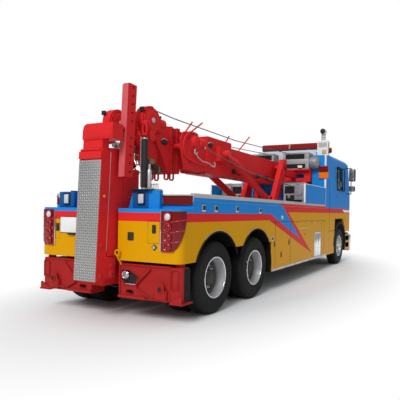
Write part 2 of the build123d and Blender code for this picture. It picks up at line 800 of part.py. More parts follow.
# ---------------------------------------------------------------- boom
head_rear_x = -3860
inner_half_width = boom_half_width - boom_wall - boom_slide_gap
inner_bottom_z = boom_bottom_z + boom_wall + boom_slide_gap
inner_top_z = boom_top_z - boom_wall - boom_slide_gap
eye_x, eye_z = cylinder_eye
guide_y = -185
guide_radius = 13
guide_bars = [  # foot x, tip x, tip z of the bars that guide the ropes over the boom
    (-3010, -2730, 3016),
    (-2930, -2410, 3061),
    (-1640, -1400, 2990),
    (-1000, -470, 3127),
]
with BuildPart() as boom_outer:
    side_plate(
        [
            (boom_rear_x, boom_bottom_z),
            (heel_x, boom_bottom_z),
            (boom_heel_x, boom_bottom_z + 200),
            (boom_heel_x, boom_top_z),
            (boom_rear_x, boom_top_z),
        ],
        (-boom_half_width, boom_half_width),
    )
    block((-2300, -1400), (-240, 240), (boom_bottom_z - 20, 2840))
    end_collar_x = (boom_rear_x, boom_rear_x + 120)
    block(end_collar_x, (-225, 225), (boom_bottom_z - 25, boom_top_z + 25))
    for foot_x, tip_x, tip_z in guide_bars:
        rod((foot_x, guide_y, boom_top_z - 15), (tip_x, guide_y, tip_z), guide_radius)
    block((-2740, -2630), (-40, 40), (2136, boom_bottom_z + 1))
    block((-2631, -1980), (-20, 20), (2150, boom_bottom_z + 1))
    for side in sides.values():
        block((eye_x - 150, eye_x + 150), (side * 230, side * 335), (2420, 2700))
    block(
        (boom_rear_x - 10, 700),
        (-boom_half_width + boom_wall, boom_half_width - boom_wall),
        (boom_bottom_z + boom_wall, boom_top_z - boom_wall),
        Mode.SUBTRACT,
    )
    cross_pin(heel_x, heel_z, 55 + running_gap, (-boom_half_width - 1, boom_half_width + 1), Mode.SUBTRACT)
save(boom_outer, "boom_outer")

sheave_radius = 180
ring_xs = (-3400, -3260)
ring_hole_radius = 25
sheave_x = -4050
sheave_z = 2770
head_collars = [(-3460, -3410), (-3290, -3220)]
hook_outline = [  # forked plate beside the boom that chains and hooks hang on
    (-3410, 2617),
    (-3320, 2738),
    (-2970, 2780),
    (-2900, 2700),
    (-3030, 2569),
    (-3100, 2490),
    (-3060, 2390),
    (-2760, 2289),
    (-2310, 2229),
    (-2560, 2205),
    (-2910, 2142),
    (-3300, 2154),
    (-3390, 2449),
]
tail_outline = [
    (head_rear_x + 20, 2550),
    (-4050, 2500),
    (-3930, 2146),
    (-3880, 2050),
    (-3720, 2150),
    (-3700, 2400),
]
with BuildPart() as boom_inner:
    block((-3300, 600), (-inner_half_width, inner_half_width), (inner_bottom_z, inner_top_z))
    pad_y = boom_half_width - boom_wall - running_gap
    pad_z = (boom_bottom_z + boom_wall + running_gap, boom_top_z - boom_wall - running_gap)
    block((480, 600), (-pad_y, pad_y), pad_z)
    block(
        (-3200, 601),
        (-inner_half_width + 15, inner_half_width - 15),
        (inner_bottom_z + 15, inner_top_z - 15),
        Mode.SUBTRACT,
    )
    side_plate(
        [
            (boom_rear_x - 30, 2080),
            (boom_rear_x - 30, 2790),
            (-3700, 2790),
            (head_rear_x, 2700),
            (head_rear_x, 2620),
            (-3500, 2080),
        ],
        (-250, 250),
    )
    for x in head_collars:
        block(x, (-275, 275), (2070, 2800))
    cross_pin(-3350, 2500, 42, (-426, 426))
    for side in sides.values():
        side_plate(hook_outline, (side * 400, side * 425))
        side_plate(tail_outline, (side * 180, side * 205))
        rod((head_rear_x + 150, side * 300, sheave_z), (head_rear_x, side * 300, sheave_z), 75)
        block((head_rear_x + 20, head_rear_x + 150), (side * 240, side * 330), (2640, sheave_z))
        for x in ring_xs:
            with BuildSketch(Plane.YZ.offset(x - 12)) as ring:
                with Locations((side * 150, 2035)):
                    SlotOverall(150, 90, rotation=90)
                    SlotOverall(110, 2 * ring_hole_radius, rotation=90, mode=Mode.SUBTRACT)
            extrude(ring.sketch, amount=24)
save(boom_inner, "boom_inner")

for side_name, side in sides.items():
    with BuildPart() as sheave_head:
        for cheek in ((-75, -50), (50, 75)):
            y = (side * 300 + cheek[0], side * 300 + cheek[1])
            cross_pin(sheave_x, sheave_z, sheave_radius, y)
        cross_pin(sheave_x, sheave_z, sheave_radius - 25, (side * 300 - 46, side * 300 + 46))
        cross_pin(sheave_x, sheave_z, 60, (side * 300 - 95, side * 300 + 95))
        neck_x = (-4000, head_rear_x - running_gap)
        block(neck_x, (side * 300 - 60, side * 300 + 60), (sheave_z - 60, sheave_z + 60))
    save(sheave_head, f"sheave_head_{side_name}")

# ---------------------------------------------------------------- lift cylinders
reach = hypot(eye_x - base_x, eye_z - base_z)
lift_way = ((eye_x - base_x) / reach, 0, (eye_z - base_z) / reach)


def along(distance, y):
    """A point on a lift cylinder's centre line, measured from its base pin."""
    return (base_x + lift_way[0] * distance, y, base_z + lift_way[2] * distance)


barrel_end = 1750
with BuildPart() as lift_barrels:
    for side in sides.values():
        y = side * cylinder_y
        rod(along(110, y), along(barrel_end, y), cylinder_radius)
        rod(along(0, y), along(111, y), 45)
        cross_pin(base_x, base_z, 62, (y - 50, y + 50))
        rod(along(250, y), along(barrel_end + 1, y), rod_radius + 0.5, Mode.SUBTRACT)
        cross_pin(base_x, base_z, 30 + running_gap, (y - 51, y + 51), Mode.SUBTRACT)
save(lift_barrels, "lift_barrels")

with BuildPart() as lift_rods:
    for side in sides.values():
        y = side * cylinder_y
        rod(along(300, y), along(reach - 40, y), rod_radius)
        cross_pin(eye_x, eye_z, 70, (side * 336, y + side * 60))
save(lift_rods, "lift_rods")

# ---------------------------------------------------------------- underlift
fold_x, fold_z = fold_pivot
with BuildPart() as underlift_mast:
    for side in sides.values():
        block((-4420, -4110), (side * mast_inner_y, side * mast_half_width), (400, 2050))
    block((-4160, -4100), (-rail_inner_y + running_gap, rail_inner_y - running_gap), (600, 980))
    block((-4190, -4110), (-160, 160), (400, 2050))
save(underlift_mast, "underlift_mast")

lean = radians(underlift_lean)
carriage_gap = 12


def leaning_x(z):
    """Where the carriage's rear face stands at a height, behind the leaning stinger."""
    return fold_x + (stinger_front + carriage_gap) / cos(lean) + (z - fold_z) * tan(lean)


with BuildPart() as underlift_carriage:
    side_plate(
        [(leaning_x(860), 860), (-4430, 860), (-4430, 2300), (leaning_x(2300), 2300)],
        (-mast_half_width, mast_half_width),
    )
    block((-4700, -4430), (-125, 125), (460, 861))
    tongue = mast_inner_y - running_gap
    block((-4431, -4205), (-tongue, tongue), (1000, 1900))
    cross_pin(fold_x, fold_z, 35, (-190, 190))
save(underlift_carriage, "underlift_carriage")

fold_plane = Plane(
    origin=(fold_x, 0, fold_z), x_dir=(cos(lean), 0, -sin(lean)), z_dir=(sin(lean), 0, cos(lean))
)
with BuildPart(fold_plane) as stinger:
    width = (-stinger_half_width, stinger_half_width)
    block((stinger_rear, stinger_front), width, (-94, stinger_top))
    for side in sides.values():
        cheek = (side * 135, side * stinger_half_width)
        block((stinger_front - 1, 60), cheek, (-60, 230))
    block((stinger_rear - 10, stinger_rear), width, (-94, 1495))
    block((stinger_rear - 24, stinger_rear), width, (1508, 1606))
    block((stinger_rear - 16, stinger_rear), (-165, 165), (1618, stinger_top))
    block((stinger_rear + stinger_wall, stinger_front - stinger_wall), (-175, 175), (300, stinger_top + 1), Mode.SUBTRACT)
    block((stinger_front - 130 + stinger_wall, stinger_front + 1), (-130, 130), (-95, 231), Mode.SUBTRACT)
    with Locations(Plane(origin=(0, 0, 0), z_dir=(0, 1, 0))):
        Cylinder(35 + running_gap, 500, mode=Mode.SUBTRACT)
save(stinger, "stinger")

head_z = (crossbar_pivot_height - 165, crossbar_pivot_height + 45)
head_y = (crossbar_y[0] + 10, 170)
head_round = 70
crossbar_mid_y = sum(crossbar_y) / 2
with BuildPart(fold_plane) as stinger_inner:
    block((stinger_rear + 18, stinger_front - 18), (-169, 169), (330, head_z[0] + 1))
    pad_x = (stinger_rear + stinger_wall + running_gap, stinger_front - stinger_wall - running_gap)
    block(pad_x, (-175 + running_gap, 175 - running_gap), (330, 420))
    head_x = (stinger_rear + 5, -75)
    block(head_x, (head_y[0], head_y[1] - head_round), head_z)
    block(head_x, head_y, (head_z[0], head_z[1] - head_round))
    round_centre = (head_x[0], head_y[1] - head_round, head_z[1] - head_round)
    with Locations(Plane(origin=round_centre, z_dir=(1, 0, 0))):
        Cylinder(head_round, head_x[1] - head_x[0], align=(Align.CENTER, Align.CENTER, Align.MIN))
    with Locations(Plane(origin=(-76, crossbar_mid_y, crossbar_pivot_height), z_dir=(1, 0, 0))):
        Cylinder(swing_pin_radius, 120, align=(Align.CENTER, Align.CENTER, Align.MIN))
save(stinger_inner, "stinger_inner")

hole_count = 11
hole_pitch = 115
first_hole = 75
hole_radius = 13
hole_line = 75
bar_low = crossbar_pivot_height - crossbar_length / 2
bar_high = crossbar_pivot_height + crossbar_length / 2
with BuildPart(fold_plane) as crossbar:
    block((-30, crossbar_depth - 30), crossbar_y, (bar_low, bar_high))
    top_edges = crossbar.edges().group_by(Axis.Z)[-1]
    chamfer(top_edges, 25)
    with Locations(Plane(origin=(-31, crossbar_mid_y, crossbar_pivot_height), z_dir=(1, 0, 0))):
        Cylinder(swing_pin_radius + running_gap, 90, align=(Align.CENTER, Align.CENTER, Align.MIN), mode=Mode.SUBTRACT)
    for n in range(hole_count):
        z = bar_low + first_hole + n * hole_pitch
        if abs(z - crossbar_pivot_height) > 70:
            with Locations(Plane(origin=(hole_line, 0, z), z_dir=(0, 1, 0))):
                Cylinder(hole_radius, 1100, mode=Mode.SUBTRACT)
save(crossbar, "crossbar")

# ---------------------------------------------------------------- outriggers
beam_x = (-4520, -4300)
leg_x = (beam_x[0] + 5, -4325)
jack_leg_y = (1076, 1245)
foot_reach = 30
lamp_recess = [(280, 540), (280, 679), (417, 679), (570, 600), (520, 473), (338, 470)]
lamp_centre = (341, 604)
slot_centre = (422, 385)
with BuildPart() as outrigger_beams:
    for side in sides.values():
        block(beam_x, (side * 240, side * (jack_leg_y[0] - running_gap)), (300, 760))
        outline = [(side * y, z) for y, z in lamp_recess]
        end_plate(outline, (beam_x[0] - 1, beam_x[0] + 45), Mode.SUBTRACT)
        centre = (side * lamp_centre[0], lamp_centre[1])
        rod((beam_x[0] + 46, *centre), (beam_x[0] + 15, *centre), 52)
        with BuildSketch(Plane.YZ.offset(beam_x[0] - 1)) as slot:
            with Locations((side * slot_centre[0], slot_centre[1])):
                SlotOverall(130, 56)
        extrude(slot.sketch, amount=61, mode=Mode.SUBTRACT)
        lug = [(868, 310), (900, 517), (950, 517), (1061, 310)]
        end_plate([(side * y, z) for y, z in lug], (beam_x[0] - 40, beam_x[0] + 1))
        block((-4300.5, -4160), (side * rail_inner_y, side * rail_outer_y), (480, 699.7))
        block((-4300.5, rail_rear_x - running_gap), (side * rail_inner_y, side * rail_outer_y), (600, 790))
save(outrigger_beams, "outrigger_beams")

for side_name, side in sides.items():
    with BuildPart() as outrigger_leg:
        block(leg_x, (side * jack_leg_y[0], side * jack_leg_y[1]), (300, 750))
        jack_edges = outrigger_leg.edges().filter_by(Axis.Z).group_by(Axis.X)
        fillet([e for e in jack_edges[0] + jack_edges[-1] if abs(e.center().Y) > 1200], 60)
        mid_y = side * sum(jack_leg_y) / 2
        rod((sum(leg_x) / 2, mid_y, 749), (sum(leg_x) / 2, mid_y, 800), 55)
        foot_y = (side * jack_leg_y[0], side * (jack_leg_y[1] + foot_reach))
        block((leg_x[0] - 25, leg_x[1] + 25), foot_y, (280, 301))
    save(outrigger_leg, f"outrigger_leg_{side_name}")
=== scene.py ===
# %% [markdown]
# # A heavy recovery truck
# A recovery truck is a lorry chassis with a painted locker body, a telescopic boom that lifts, and a
# folding underlift at its tail that carries the towed vehicle's axle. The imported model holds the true
# pieces and their sizes. This lesson gives them paint, rubber, glass, lamps, ropes and small fittings.
#
# All lengths are in metres. +X points forward, +Y to the truck's left and +Z up.

import json
from math import cos, pi, radians, sin

import bmesh
import bpy
from mathutils import Matrix, Vector


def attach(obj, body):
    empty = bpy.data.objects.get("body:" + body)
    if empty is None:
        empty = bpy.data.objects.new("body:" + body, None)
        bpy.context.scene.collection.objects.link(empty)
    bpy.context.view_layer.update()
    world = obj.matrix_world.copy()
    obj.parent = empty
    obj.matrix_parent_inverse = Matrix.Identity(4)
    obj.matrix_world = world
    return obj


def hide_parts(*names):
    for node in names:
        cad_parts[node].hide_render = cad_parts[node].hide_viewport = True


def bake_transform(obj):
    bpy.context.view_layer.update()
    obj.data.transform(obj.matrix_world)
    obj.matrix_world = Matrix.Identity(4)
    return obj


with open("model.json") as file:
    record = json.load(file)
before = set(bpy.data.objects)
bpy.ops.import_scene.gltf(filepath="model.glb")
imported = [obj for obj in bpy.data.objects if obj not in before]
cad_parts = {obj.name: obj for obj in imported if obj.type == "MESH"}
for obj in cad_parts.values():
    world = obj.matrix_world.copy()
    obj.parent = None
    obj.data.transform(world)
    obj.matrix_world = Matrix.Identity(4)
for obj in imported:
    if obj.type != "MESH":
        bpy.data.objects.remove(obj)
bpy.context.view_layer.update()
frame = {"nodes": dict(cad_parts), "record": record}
nodes = frame["nodes"]
scene = bpy.context.scene
sides = {"left": 1, "right": -1}
print("CAD nodes:", len(nodes))

# %% [markdown]
# ## The camera
# The view is from behind, off the truck's right corner, at chest height. The truck stands left of the
# middle of a wider picture, so the lens is shifted instead of turned, which keeps uprights upright.

# %% Camera
eye = Vector((-9.073, -4.384, 1.48))
forward = Vector((0.90785, 0.41921, -0.00795))
roll = 0.017
level_right = forward.cross(Vector((0, 0, 1))).normalized()
level_up = level_right.cross(forward)
right = level_right * cos(roll) + level_up * sin(roll)
up = level_up * cos(roll) - level_right * sin(roll)

camera = bpy.data.objects.new("camera", bpy.data.cameras.new("camera"))
scene.collection.objects.link(camera)
turn = Matrix((right, up, -forward)).transposed()
camera.matrix_world = Matrix.Translation(eye) @ turn.to_4x4()
camera.data.sensor_width, camera.data.lens = 36.0, 39.05  # millimetres
camera.data.shift_x, camera.data.shift_y = -0.1435, 0.0385
scene.camera = camera
scene.view_settings.view_transform = "Standard"

# %% [markdown]
# ## Building node trees
# Every paint and metal below is a small network of nodes. `add` places one node, fills its sockets and
# links whatever is itself a socket, so that a recipe reads from top to bottom.


# %% Node helpers
def add(tree, kind, inputs=None, **settings):
    node = tree.nodes.new(kind)
    for name, value in settings.items():
        setattr(node, name, value)
    for name, value in (inputs or {}).items():
        socket = node.inputs[name]
        if isinstance(value, bpy.types.NodeSocket):
            tree.links.new(value, socket)
        else:
            socket.default_value = value
    return node


def maths(tree, operation, first, second=0.0):
    return add(tree, "ShaderNodeMath", {0: first, 1: second}, operation=operation).outputs[0]


def blended(tree, mask, first, second):
    """One colour where the mask is 0, the other where it is 1."""
    mix = add(tree, "ShaderNodeMix", {"Factor": mask}, data_type="RGBA")
    for socket, value in ((mix.inputs[6], first), (mix.inputs[7], second)):
        if isinstance(value, bpy.types.NodeSocket):
            tree.links.new(value, socket)
        else:
            socket.default_value = value
    return mix.outputs[2]


def remapped(tree, value, low, high, to_low=0.0, to_high=1.0):
    sockets = {"Value": value, "From Min": low, "From Max": high, "To Min": to_low, "To Max": to_high}
    return add(tree, "ShaderNodeMapRange", sockets).outputs["Result"]


def object_position(tree):
    return add(tree, "ShaderNodeTexCoord").outputs["Object"]


def coordinates(tree):
    """A point's x, y and z, in metres."""
    return add(tree, "ShaderNodeSeparateXYZ", {0: object_position(tree)}).outputs


# %% [markdown]
# ## Weather
# A working truck is washed, but dust stays low on the body and in broad faint patches, and the clear
# coat is never quite even. One group makes these masks for every material: a tone that multiplies the
# colour, a dust mask that grows towards the road, and a fine height for the bump.

# %% The weather group
weather = bpy.data.node_groups.new("weather", "ShaderNodeTree")
for name, kind, default in (
    ("Patches", "NodeSocketFloat", 1.5),
    ("Unevenness", "NodeSocketFloat", 0.06),
    ("Grain", "NodeSocketFloat", 60.0),
    ("Dust", "NodeSocketFloat", 0.3),
):
    socket = weather.interface.new_socket(name, in_out="INPUT", socket_type=kind)
    socket.default_value = default
for name in ("Tone", "Dust", "Height"):
    weather.interface.new_socket(name, in_out="OUTPUT", socket_type="NodeSocketFloat")


def fill_weather(tree):
    given = tree.nodes.new("NodeGroupInput").outputs
    position = object_position(tree)
    broad = add(tree, "ShaderNodeTexNoise", {"Vector": position, "Scale": given["Patches"], "Detail": 4.0})
    fine = add(tree, "ShaderNodeTexNoise", {"Vector": position, "Scale": given["Grain"], "Detail": 3.0})
    spread = maths(tree, "SUBTRACT", broad.outputs["Fac"], 0.5)
    tone = maths(tree, "MULTIPLY_ADD", spread, given["Unevenness"])
    tone.node.inputs[2].default_value = 1.0
    low = remapped(tree, coordinates(tree)["Z"], 0.2, 1.6, 1.0, 0.06)
    patchy = remapped(tree, broad.outputs["Fac"], 0.35, 0.7, 0.25, 1.0)
    speckled = remapped(tree, fine.outputs["Fac"], 0.3, 0.7, 0.6, 1.0)
    dust = maths(tree, "MULTIPLY", maths(tree, "MULTIPLY", low, patchy), speckled)
    out = tree.nodes.new("NodeGroupOutput")
    tree.links.new(tone, out.inputs["Tone"])
    tree.links.new(maths(tree, "MULTIPLY", dust, given["Dust"]), out.inputs["Dust"])
    tree.links.new(fine.outputs["Fac"], out.inputs["Height"])


fill_weather(weather)

# %% [markdown]
# ## Finishes
# Fabricated steel has no knife edges: each corner of a plate catches a thin line of light. A Bevel node
# bends the surface normal near edges, which gives that line without a million extra faces.

# %% A weathered finish
dust_colour = (0.3, 0.27, 0.23, 1.0)


def finish(
    name, slot, colour, roughness=0.4, metallic=0.0, coat=0.0, uneven=0.06, dust=0.2,
    grain=60.0, bump=0.05, edge=0.006, relief=None, shine=0.3, index=1.45,
):
    """A material whose colour is plain, or comes from a function that adds nodes to the tree."""
    material = bpy.data.materials.new(name)
    material.use_nodes = True
    tree = material.node_tree
    shader = tree.nodes["Principled BSDF"]
    masks = tree.nodes.new("ShaderNodeGroup")
    masks.node_tree = weather
    for label, value in (("Unevenness", uneven), ("Grain", grain), ("Dust", dust)):
        masks.inputs[label].default_value = value
    base = colour(tree) if callable(colour) else colour
    toned = add(tree, "ShaderNodeVectorMath", {0: base, "Scale": masks.outputs["Tone"]}, operation="SCALE")
    shown = blended(tree, masks.outputs["Dust"], toned.outputs[0], dust_colour)
    tree.links.new(shown, shader.inputs["Base Color"])
    rough = remapped(tree, masks.outputs["Dust"], 0.0, 0.6, roughness, min(1.0, roughness + 0.35))
    tree.links.new(rough, shader.inputs["Roughness"])
    for label, value in (("Metallic", metallic), ("Specular IOR Level", shine), ("IOR", index),
                         ("Coat Weight", coat), ("Coat Roughness", 0.08)):
        shader.inputs[label].default_value = value
    rounded = add(tree, "ShaderNodeBevel", {"Radius": edge}, samples=4)
    height = masks.outputs["Height"] if relief is None else relief(tree)
    surface = add(tree, "ShaderNodeBump",
                  {"Strength": bump, "Distance": 0.002, "Height": height, "Normal": rounded.outputs[0]})
    tree.links.new(surface.outputs[0], shader.inputs["Normal"])
    return material


# %% [markdown]
# ## The livery
# The body wears three colours: blue on top, a red band, golden yellow below. On each side the band
# folds down into a long arrow that points forward. Every border is a straight line in the side view,
# so a colour is chosen by comparing a point's height with the line's height at the same x. Painting by
# position keeps the bands unbroken over every panel, which an image on each panel would not.

# %% Livery lines and colours
blue = (0.016, 0.24, 0.67)
red = (0.7, 0.024, 0.027)
yellow = (0.69, 0.325, 0.001)
rear_band = (1.33, 1.447)
front_band = (1.484, 1.614)
band_bend = (-1.76, rear_band[0])
blue_bend = (-1.7, rear_band[1])
blue_tip = (-0.03, 0.911)
red_tip = (0.86, 0.52)
inner_corner = (-0.77, front_band[0])
outer_corner = (-1.1, front_band[1])
slash = ((2.92, 1.6), (3.2, 1.51), (3.99, 1.51), (3.8, 1.59))


def height_on(tree, x, start, end):
    """The height of the line through two (x, z) points, at a point's own x."""
    slope = (end[1] - start[1]) / (end[0] - start[0])
    line = maths(tree, "MULTIPLY_ADD", x, slope)
    line.node.inputs[2].default_value = start[1] - slope * start[0]
    return line


def behind(tree, x, z, start, end):
    """1 where a point lies to the rear of a leaning line."""
    slope = (end[0] - start[0]) / (end[1] - start[1])
    line = maths(tree, "MULTIPLY_ADD", z, slope)
    line.node.inputs[2].default_value = start[0] - slope * start[1]
    return maths(tree, "LESS_THAN", x, line)


def livery(tree):
    x, _, z = coordinates(tree)
    red_floor = maths(tree, "MINIMUM", height_on(tree, x, band_bend, red_tip), rear_band[0])
    blue_floor = maths(tree, "MINIMUM", height_on(tree, x, blue_bend, blue_tip), rear_band[1])
    rear_red = maths(tree, "MULTIPLY", maths(tree, "GREATER_THAN", z, red_floor),
                     behind(tree, x, z, red_tip, inner_corner))
    rear_blue = maths(tree, "MULTIPLY", maths(tree, "GREATER_THAN", z, blue_floor),
                      behind(tree, x, z, blue_tip, outer_corner))
    any_red = maths(tree, "MAXIMUM", rear_red, maths(tree, "GREATER_THAN", z, front_band[0]))
    any_blue = maths(tree, "MAXIMUM", rear_blue, maths(tree, "GREATER_THAN", z, front_band[1]))
    below = blended(tree, any_red, (*yellow, 1.0), (*red, 1.0))
    return blended(tree, any_blue, below, (*blue, 1.0))


def cab_livery(tree):
    """The same bands with a white slash across the red one."""
    x, _, z = coordinates(tree)
    inside = maths(tree, "GREATER_THAN", z, height_on(tree, x, slash[0], slash[1]))
    for start, end in ((slash[1], slash[2]), (slash[2], slash[3])):
        above = maths(tree, "GREATER_THAN", z, height_on(tree, x, start, end))
        inside = maths(tree, "MULTIPLY", inside, above)
    under = maths(tree, "LESS_THAN", z, height_on(tree, x, slash[3], slash[0]))
    inside = maths(tree, "MULTIPLY", inside, under)
    return blended(tree, inside, livery(tree), (0.9, 0.9, 0.9, 1.0))


arch_centre_z = 0.53
wheel_arches = ((-3.595, 0.655), (-2.275, 0.655), (3.525, 0.665))  # x, radius of each wheel opening


def locker_livery_and_shade(tree):
    """The livery outside, and painted shade, near black, in the wheel arches and behind the outer skin."""
    x, y, z = coordinates(tree)
    # Painted shade: near black behind the outer skin and inside each wheel arch.
    shade_mask = maths(tree, "MULTIPLY", maths(tree, "LESS_THAN", maths(tree, "ABSOLUTE", y), 1.243),
                   maths(tree, "LESS_THAN", z, 1.25))
    for centre, radius in wheel_arches:
        away = [maths(tree, "POWER", maths(tree, "SUBTRACT", value, middle), 2.0)
                for value, middle in ((x, centre), (z, arch_centre_z))]
        inside = maths(tree, "LESS_THAN", maths(tree, "ADD", *away), (radius + 0.004) ** 2)
        shade_mask = maths(tree, "MAXIMUM", shade_mask, inside)
    return blended(tree, shade_mask, livery(tree), (0.012, 0.012, 0.013, 1.0))


def worn_red(tree):
    """Red paint that chains and bars have rubbed to a dull pink on the face that looks back."""
    x, _, z = coordinates(tree)
    face = height_on(tree, z, (0.62, -4.65), (1.62, -4.603))
    rear = maths(tree, "LESS_THAN", x, maths(tree, "ADD", face, 0.004))
    stretched = add(tree, "ShaderNodeMapping", {"Vector": object_position(tree), "Scale": (1.0, 14.0, 1.6)})
    rubs = add(tree, "ShaderNodeTexNoise", {"Vector": stretched.outputs[0], "Scale": 2.5, "Detail": 5.0})
    worn = maths(tree, "MULTIPLY", rear, remapped(tree, rubs.outputs["Fac"], 0.36, 0.62, 0.6, 1.0))
    return blended(tree, worn, (*red, 1.0), (0.6, 0.125, 0.135, 1.0))


def rod_colours(tree):
    """Each lift rod's eye end, which shows with the boom down, is red, and the rest is bright steel."""
    at_eye = maths(tree, "LESS_THAN", coordinates(tree)["X"], -1.54)
    return blended(tree, at_eye, (0.62, 0.62, 0.63, 1.0), (*red, 1.0))


# %% [markdown]
# ## Paints, metals and lenses
# Gloss paint, worn steel, rubber and lamp plastic differ in colour, in roughness and in how they mirror the
# sky. An image could be laid on each panel, but one function with a few numbers for each finish keeps them
# alike and needs no unwrapping. The deck's tread and the flutes of a lens are bumps, because they are fine.

# %% The truck's finishes
def chequer_relief(tree):
    """Two sets of short raised bars, leaning left and right by turns."""
    position = object_position(tree)
    heights = []
    for angle in (45, -45):
        mapped = add(tree, "ShaderNodeMapping", {"Vector": position, "Rotation": (radians(angle), 0, 0)})
        wave = add(tree, "ShaderNodeTexWave", {"Vector": mapped.outputs[0], "Scale": 9.0},
                   bands_direction="Y")
        heights.append(wave.outputs["Fac"])
    return maths(tree, "MULTIPLY", *heights)


def paint(name, slot, colour, roughness, dust=0.03, **more):
    """Smooth gloss paint, which mirrors little of a pale sky."""
    return finish(name, slot, colour, roughness, dust=dust, shine=0.5, index=1.12, **more)


body_paint = paint("body_paint", "panel_yellow", livery, 0.34, uneven=0.05)
locker_paint = paint("locker_paint", "panel_yellow", locker_livery_and_shade, 0.34, uneven=0.05)
cab_paint = paint("cab_paint", "blue_paint", cab_livery, 0.3, uneven=0.05)
blue_paint = paint("blue_paint", "panel_blue", blue, 0.32, uneven=0.06)
dark_blue_paint = paint("dark_blue_paint", "panel_blue", (0.012, 0.1, 0.32), 0.35)
red_paint = paint("red_paint", "red_paint", red, 0.36, uneven=0.18, dust=0.04, bump=0.1)
worn_red_paint = paint("worn_red_paint", "red_paint", worn_red, 0.42, uneven=0.15, dust=0.04)
outrigger_paint = paint("outrigger_paint", "red_paint", (0.37, 0.016, 0.016), 0.4, uneven=0.35, dust=0.06)
dark_red_paint = paint("dark_red_paint", "red_paint", (0.34, 0.006, 0.01), 0.4, uneven=0.2, dust=0.05)
yellow_paint = paint("yellow_paint", "panel_yellow", yellow, 0.32, uneven=0.06)
white_paint = finish("white_paint", "white_plastic", (0.78, 0.78, 0.76), 0.35, coat=0.15, uneven=0.08,
                     dust=0.1)
pale_panel = finish("pale_panel", "white_plastic", (0.55, 0.6, 0.66), 0.5, uneven=0.1)
plate_grey = finish("plate_grey", "winch_grey", (0.36, 0.36, 0.37), 0.45, metallic=0.2, dust=0.1)
winch_grey = finish("winch_grey", "winch_grey", (0.26, 0.26, 0.28), 0.45, metallic=0.3, uneven=0.12)
black_steel = finish("black_steel", "black_steel", (0.022, 0.022, 0.025), 0.55, metallic=0.2, uneven=0.3,
                     dust=0.5)
shadow_black = finish("shadow_black", "black_plastic", (0.01, 0.01, 0.011), 0.8, dust=0.1)
rubber = finish("rubber", "tyre", (0.006, 0.006, 0.007), 0.74, uneven=0.25, dust=0.04, grain=180.0, bump=0.25)
rim_silver = finish("rim_silver", "silver_rim", (0.56, 0.57, 0.58), 0.32, metallic=0.85, uneven=0.1,
                    dust=0.35)
wheel_dark = finish("wheel_dark", "silver_rim", (0.075, 0.076, 0.08), 0.5, metallic=0.3, uneven=0.25,
                    dust=0.1)
barrel_silver = finish("barrel_silver", "silver_rim", (0.6, 0.6, 0.61), 0.34, metallic=0.35, uneven=0.4,
                       dust=0.1)
chrome = finish("chrome", "bright_metal", (0.78, 0.78, 0.79), 0.12, metallic=1.0, uneven=0.04, dust=0.08,
                bump=0.01)
rod_finish = finish("rod_finish", "bright_metal", rod_colours, 0.32, coat=0.03, dust=0.03, shine=0.3)
alloy = finish("alloy", "bright_metal", (0.58, 0.59, 0.6), 0.38, metallic=0.75, uneven=0.1, dust=0.2,
               grain=140.0)
rope_steel = finish("rope_steel", "bright_metal", (0.16, 0.15, 0.14), 0.5, metallic=0.6, uneven=0.2)
black_plastic = finish("black_plastic", "black_plastic", (0.02, 0.021, 0.023), 0.5, uneven=0.1, dust=0.3,
                       grain=220.0)
trim_cloth = finish("trim_cloth", "cab_trim", (0.07, 0.075, 0.085), 0.9, uneven=0.2, dust=0.1, grain=300.0,
                    bump=0.3)
plate_white = finish("plate_white", "white_plastic", (0.8, 0.81, 0.81), 0.4, dust=0.05)
brass = finish("brass", "bright_metal", (0.32, 0.22, 0.11), 0.35, metallic=0.7, uneven=0.2, dust=0.1)
steel_bright = finish("steel_bright", "bright_metal", (0.62, 0.61, 0.58), 0.3, metallic=0.9, uneven=0.25,
                      dust=0.15)
hose_grey = finish("hose_grey", "black_plastic", (0.045, 0.05, 0.045), 0.55, uneven=0.2)
tread_sheet = finish("tread_sheet", "bright_metal", (0.3, 0.3, 0.295), 0.45, metallic=0.55, uneven=0.12,
                     dust=0.15)
tread_bars = finish("tread_bars", "bright_metal", (0.7, 0.7, 0.68), 0.34, metallic=0.45, uneven=0.1,
                    dust=0.1)
deck_plate = finish("deck_plate", "bright_metal", (0.55, 0.56, 0.56), 0.42, metallic=0.5, uneven=0.12,
                    dust=0.15, bump=0.6, relief=chequer_relief)


def lens(name, slot, colour, roughness=0.12, glow=0.0):
    """A lamp lens: coloured plastic with fine vertical flutes behind a clear skin."""

    def flutes(tree):
        place = object_position(tree)
        return add(tree, "ShaderNodeTexWave", {"Vector": place, "Scale": 16.0},
                   bands_direction="Y").outputs["Fac"]

    material = finish(name, slot, colour, roughness, coat=0.35, dust=0.02, bump=0.25, edge=0.003,
                      relief=flutes)
    shader = material.node_tree.nodes["Principled BSDF"]
    shader.inputs["Emission Color"].default_value = (*colour, 1.0)
    shader.inputs["Emission Strength"].default_value = glow
    return material


lens_red = lens("lens_red", "lamp_red", (0.2, 0.002, 0.004), glow=0.02)
lens_bright = lens("lens_bright", "lamp_red", (0.55, 0.006, 0.014), glow=0.06)
# The tail lamps' ribs and rings are a lighter red than the lenses: a painted highlight on relief that also
# catches real light.
lens_ribs = lens("lens_ribs", "lamp_red", (0.48, 0.022, 0.03), glow=0.04)
lens_orange = lens("lens_orange", "lamp_red", (0.9, 0.22, 0.01), glow=0.1)
lens_cream = lens("lens_cream", "white_plastic", (0.72, 0.6, 0.32))
lens_clear = lens("lens_clear", "white_plastic", (0.62, 0.64, 0.66))
mirror_glass = finish("mirror_glass", "white_plastic", (0.34, 0.38, 0.42), 0.06, metallic=0.8, dust=0.05,
                      shine=0.6)
lamp_glass = finish("lamp_glass", "white_plastic", (0.42, 0.43, 0.45), 0.1, metallic=0.6, dust=0.05,
                    shine=0.6)


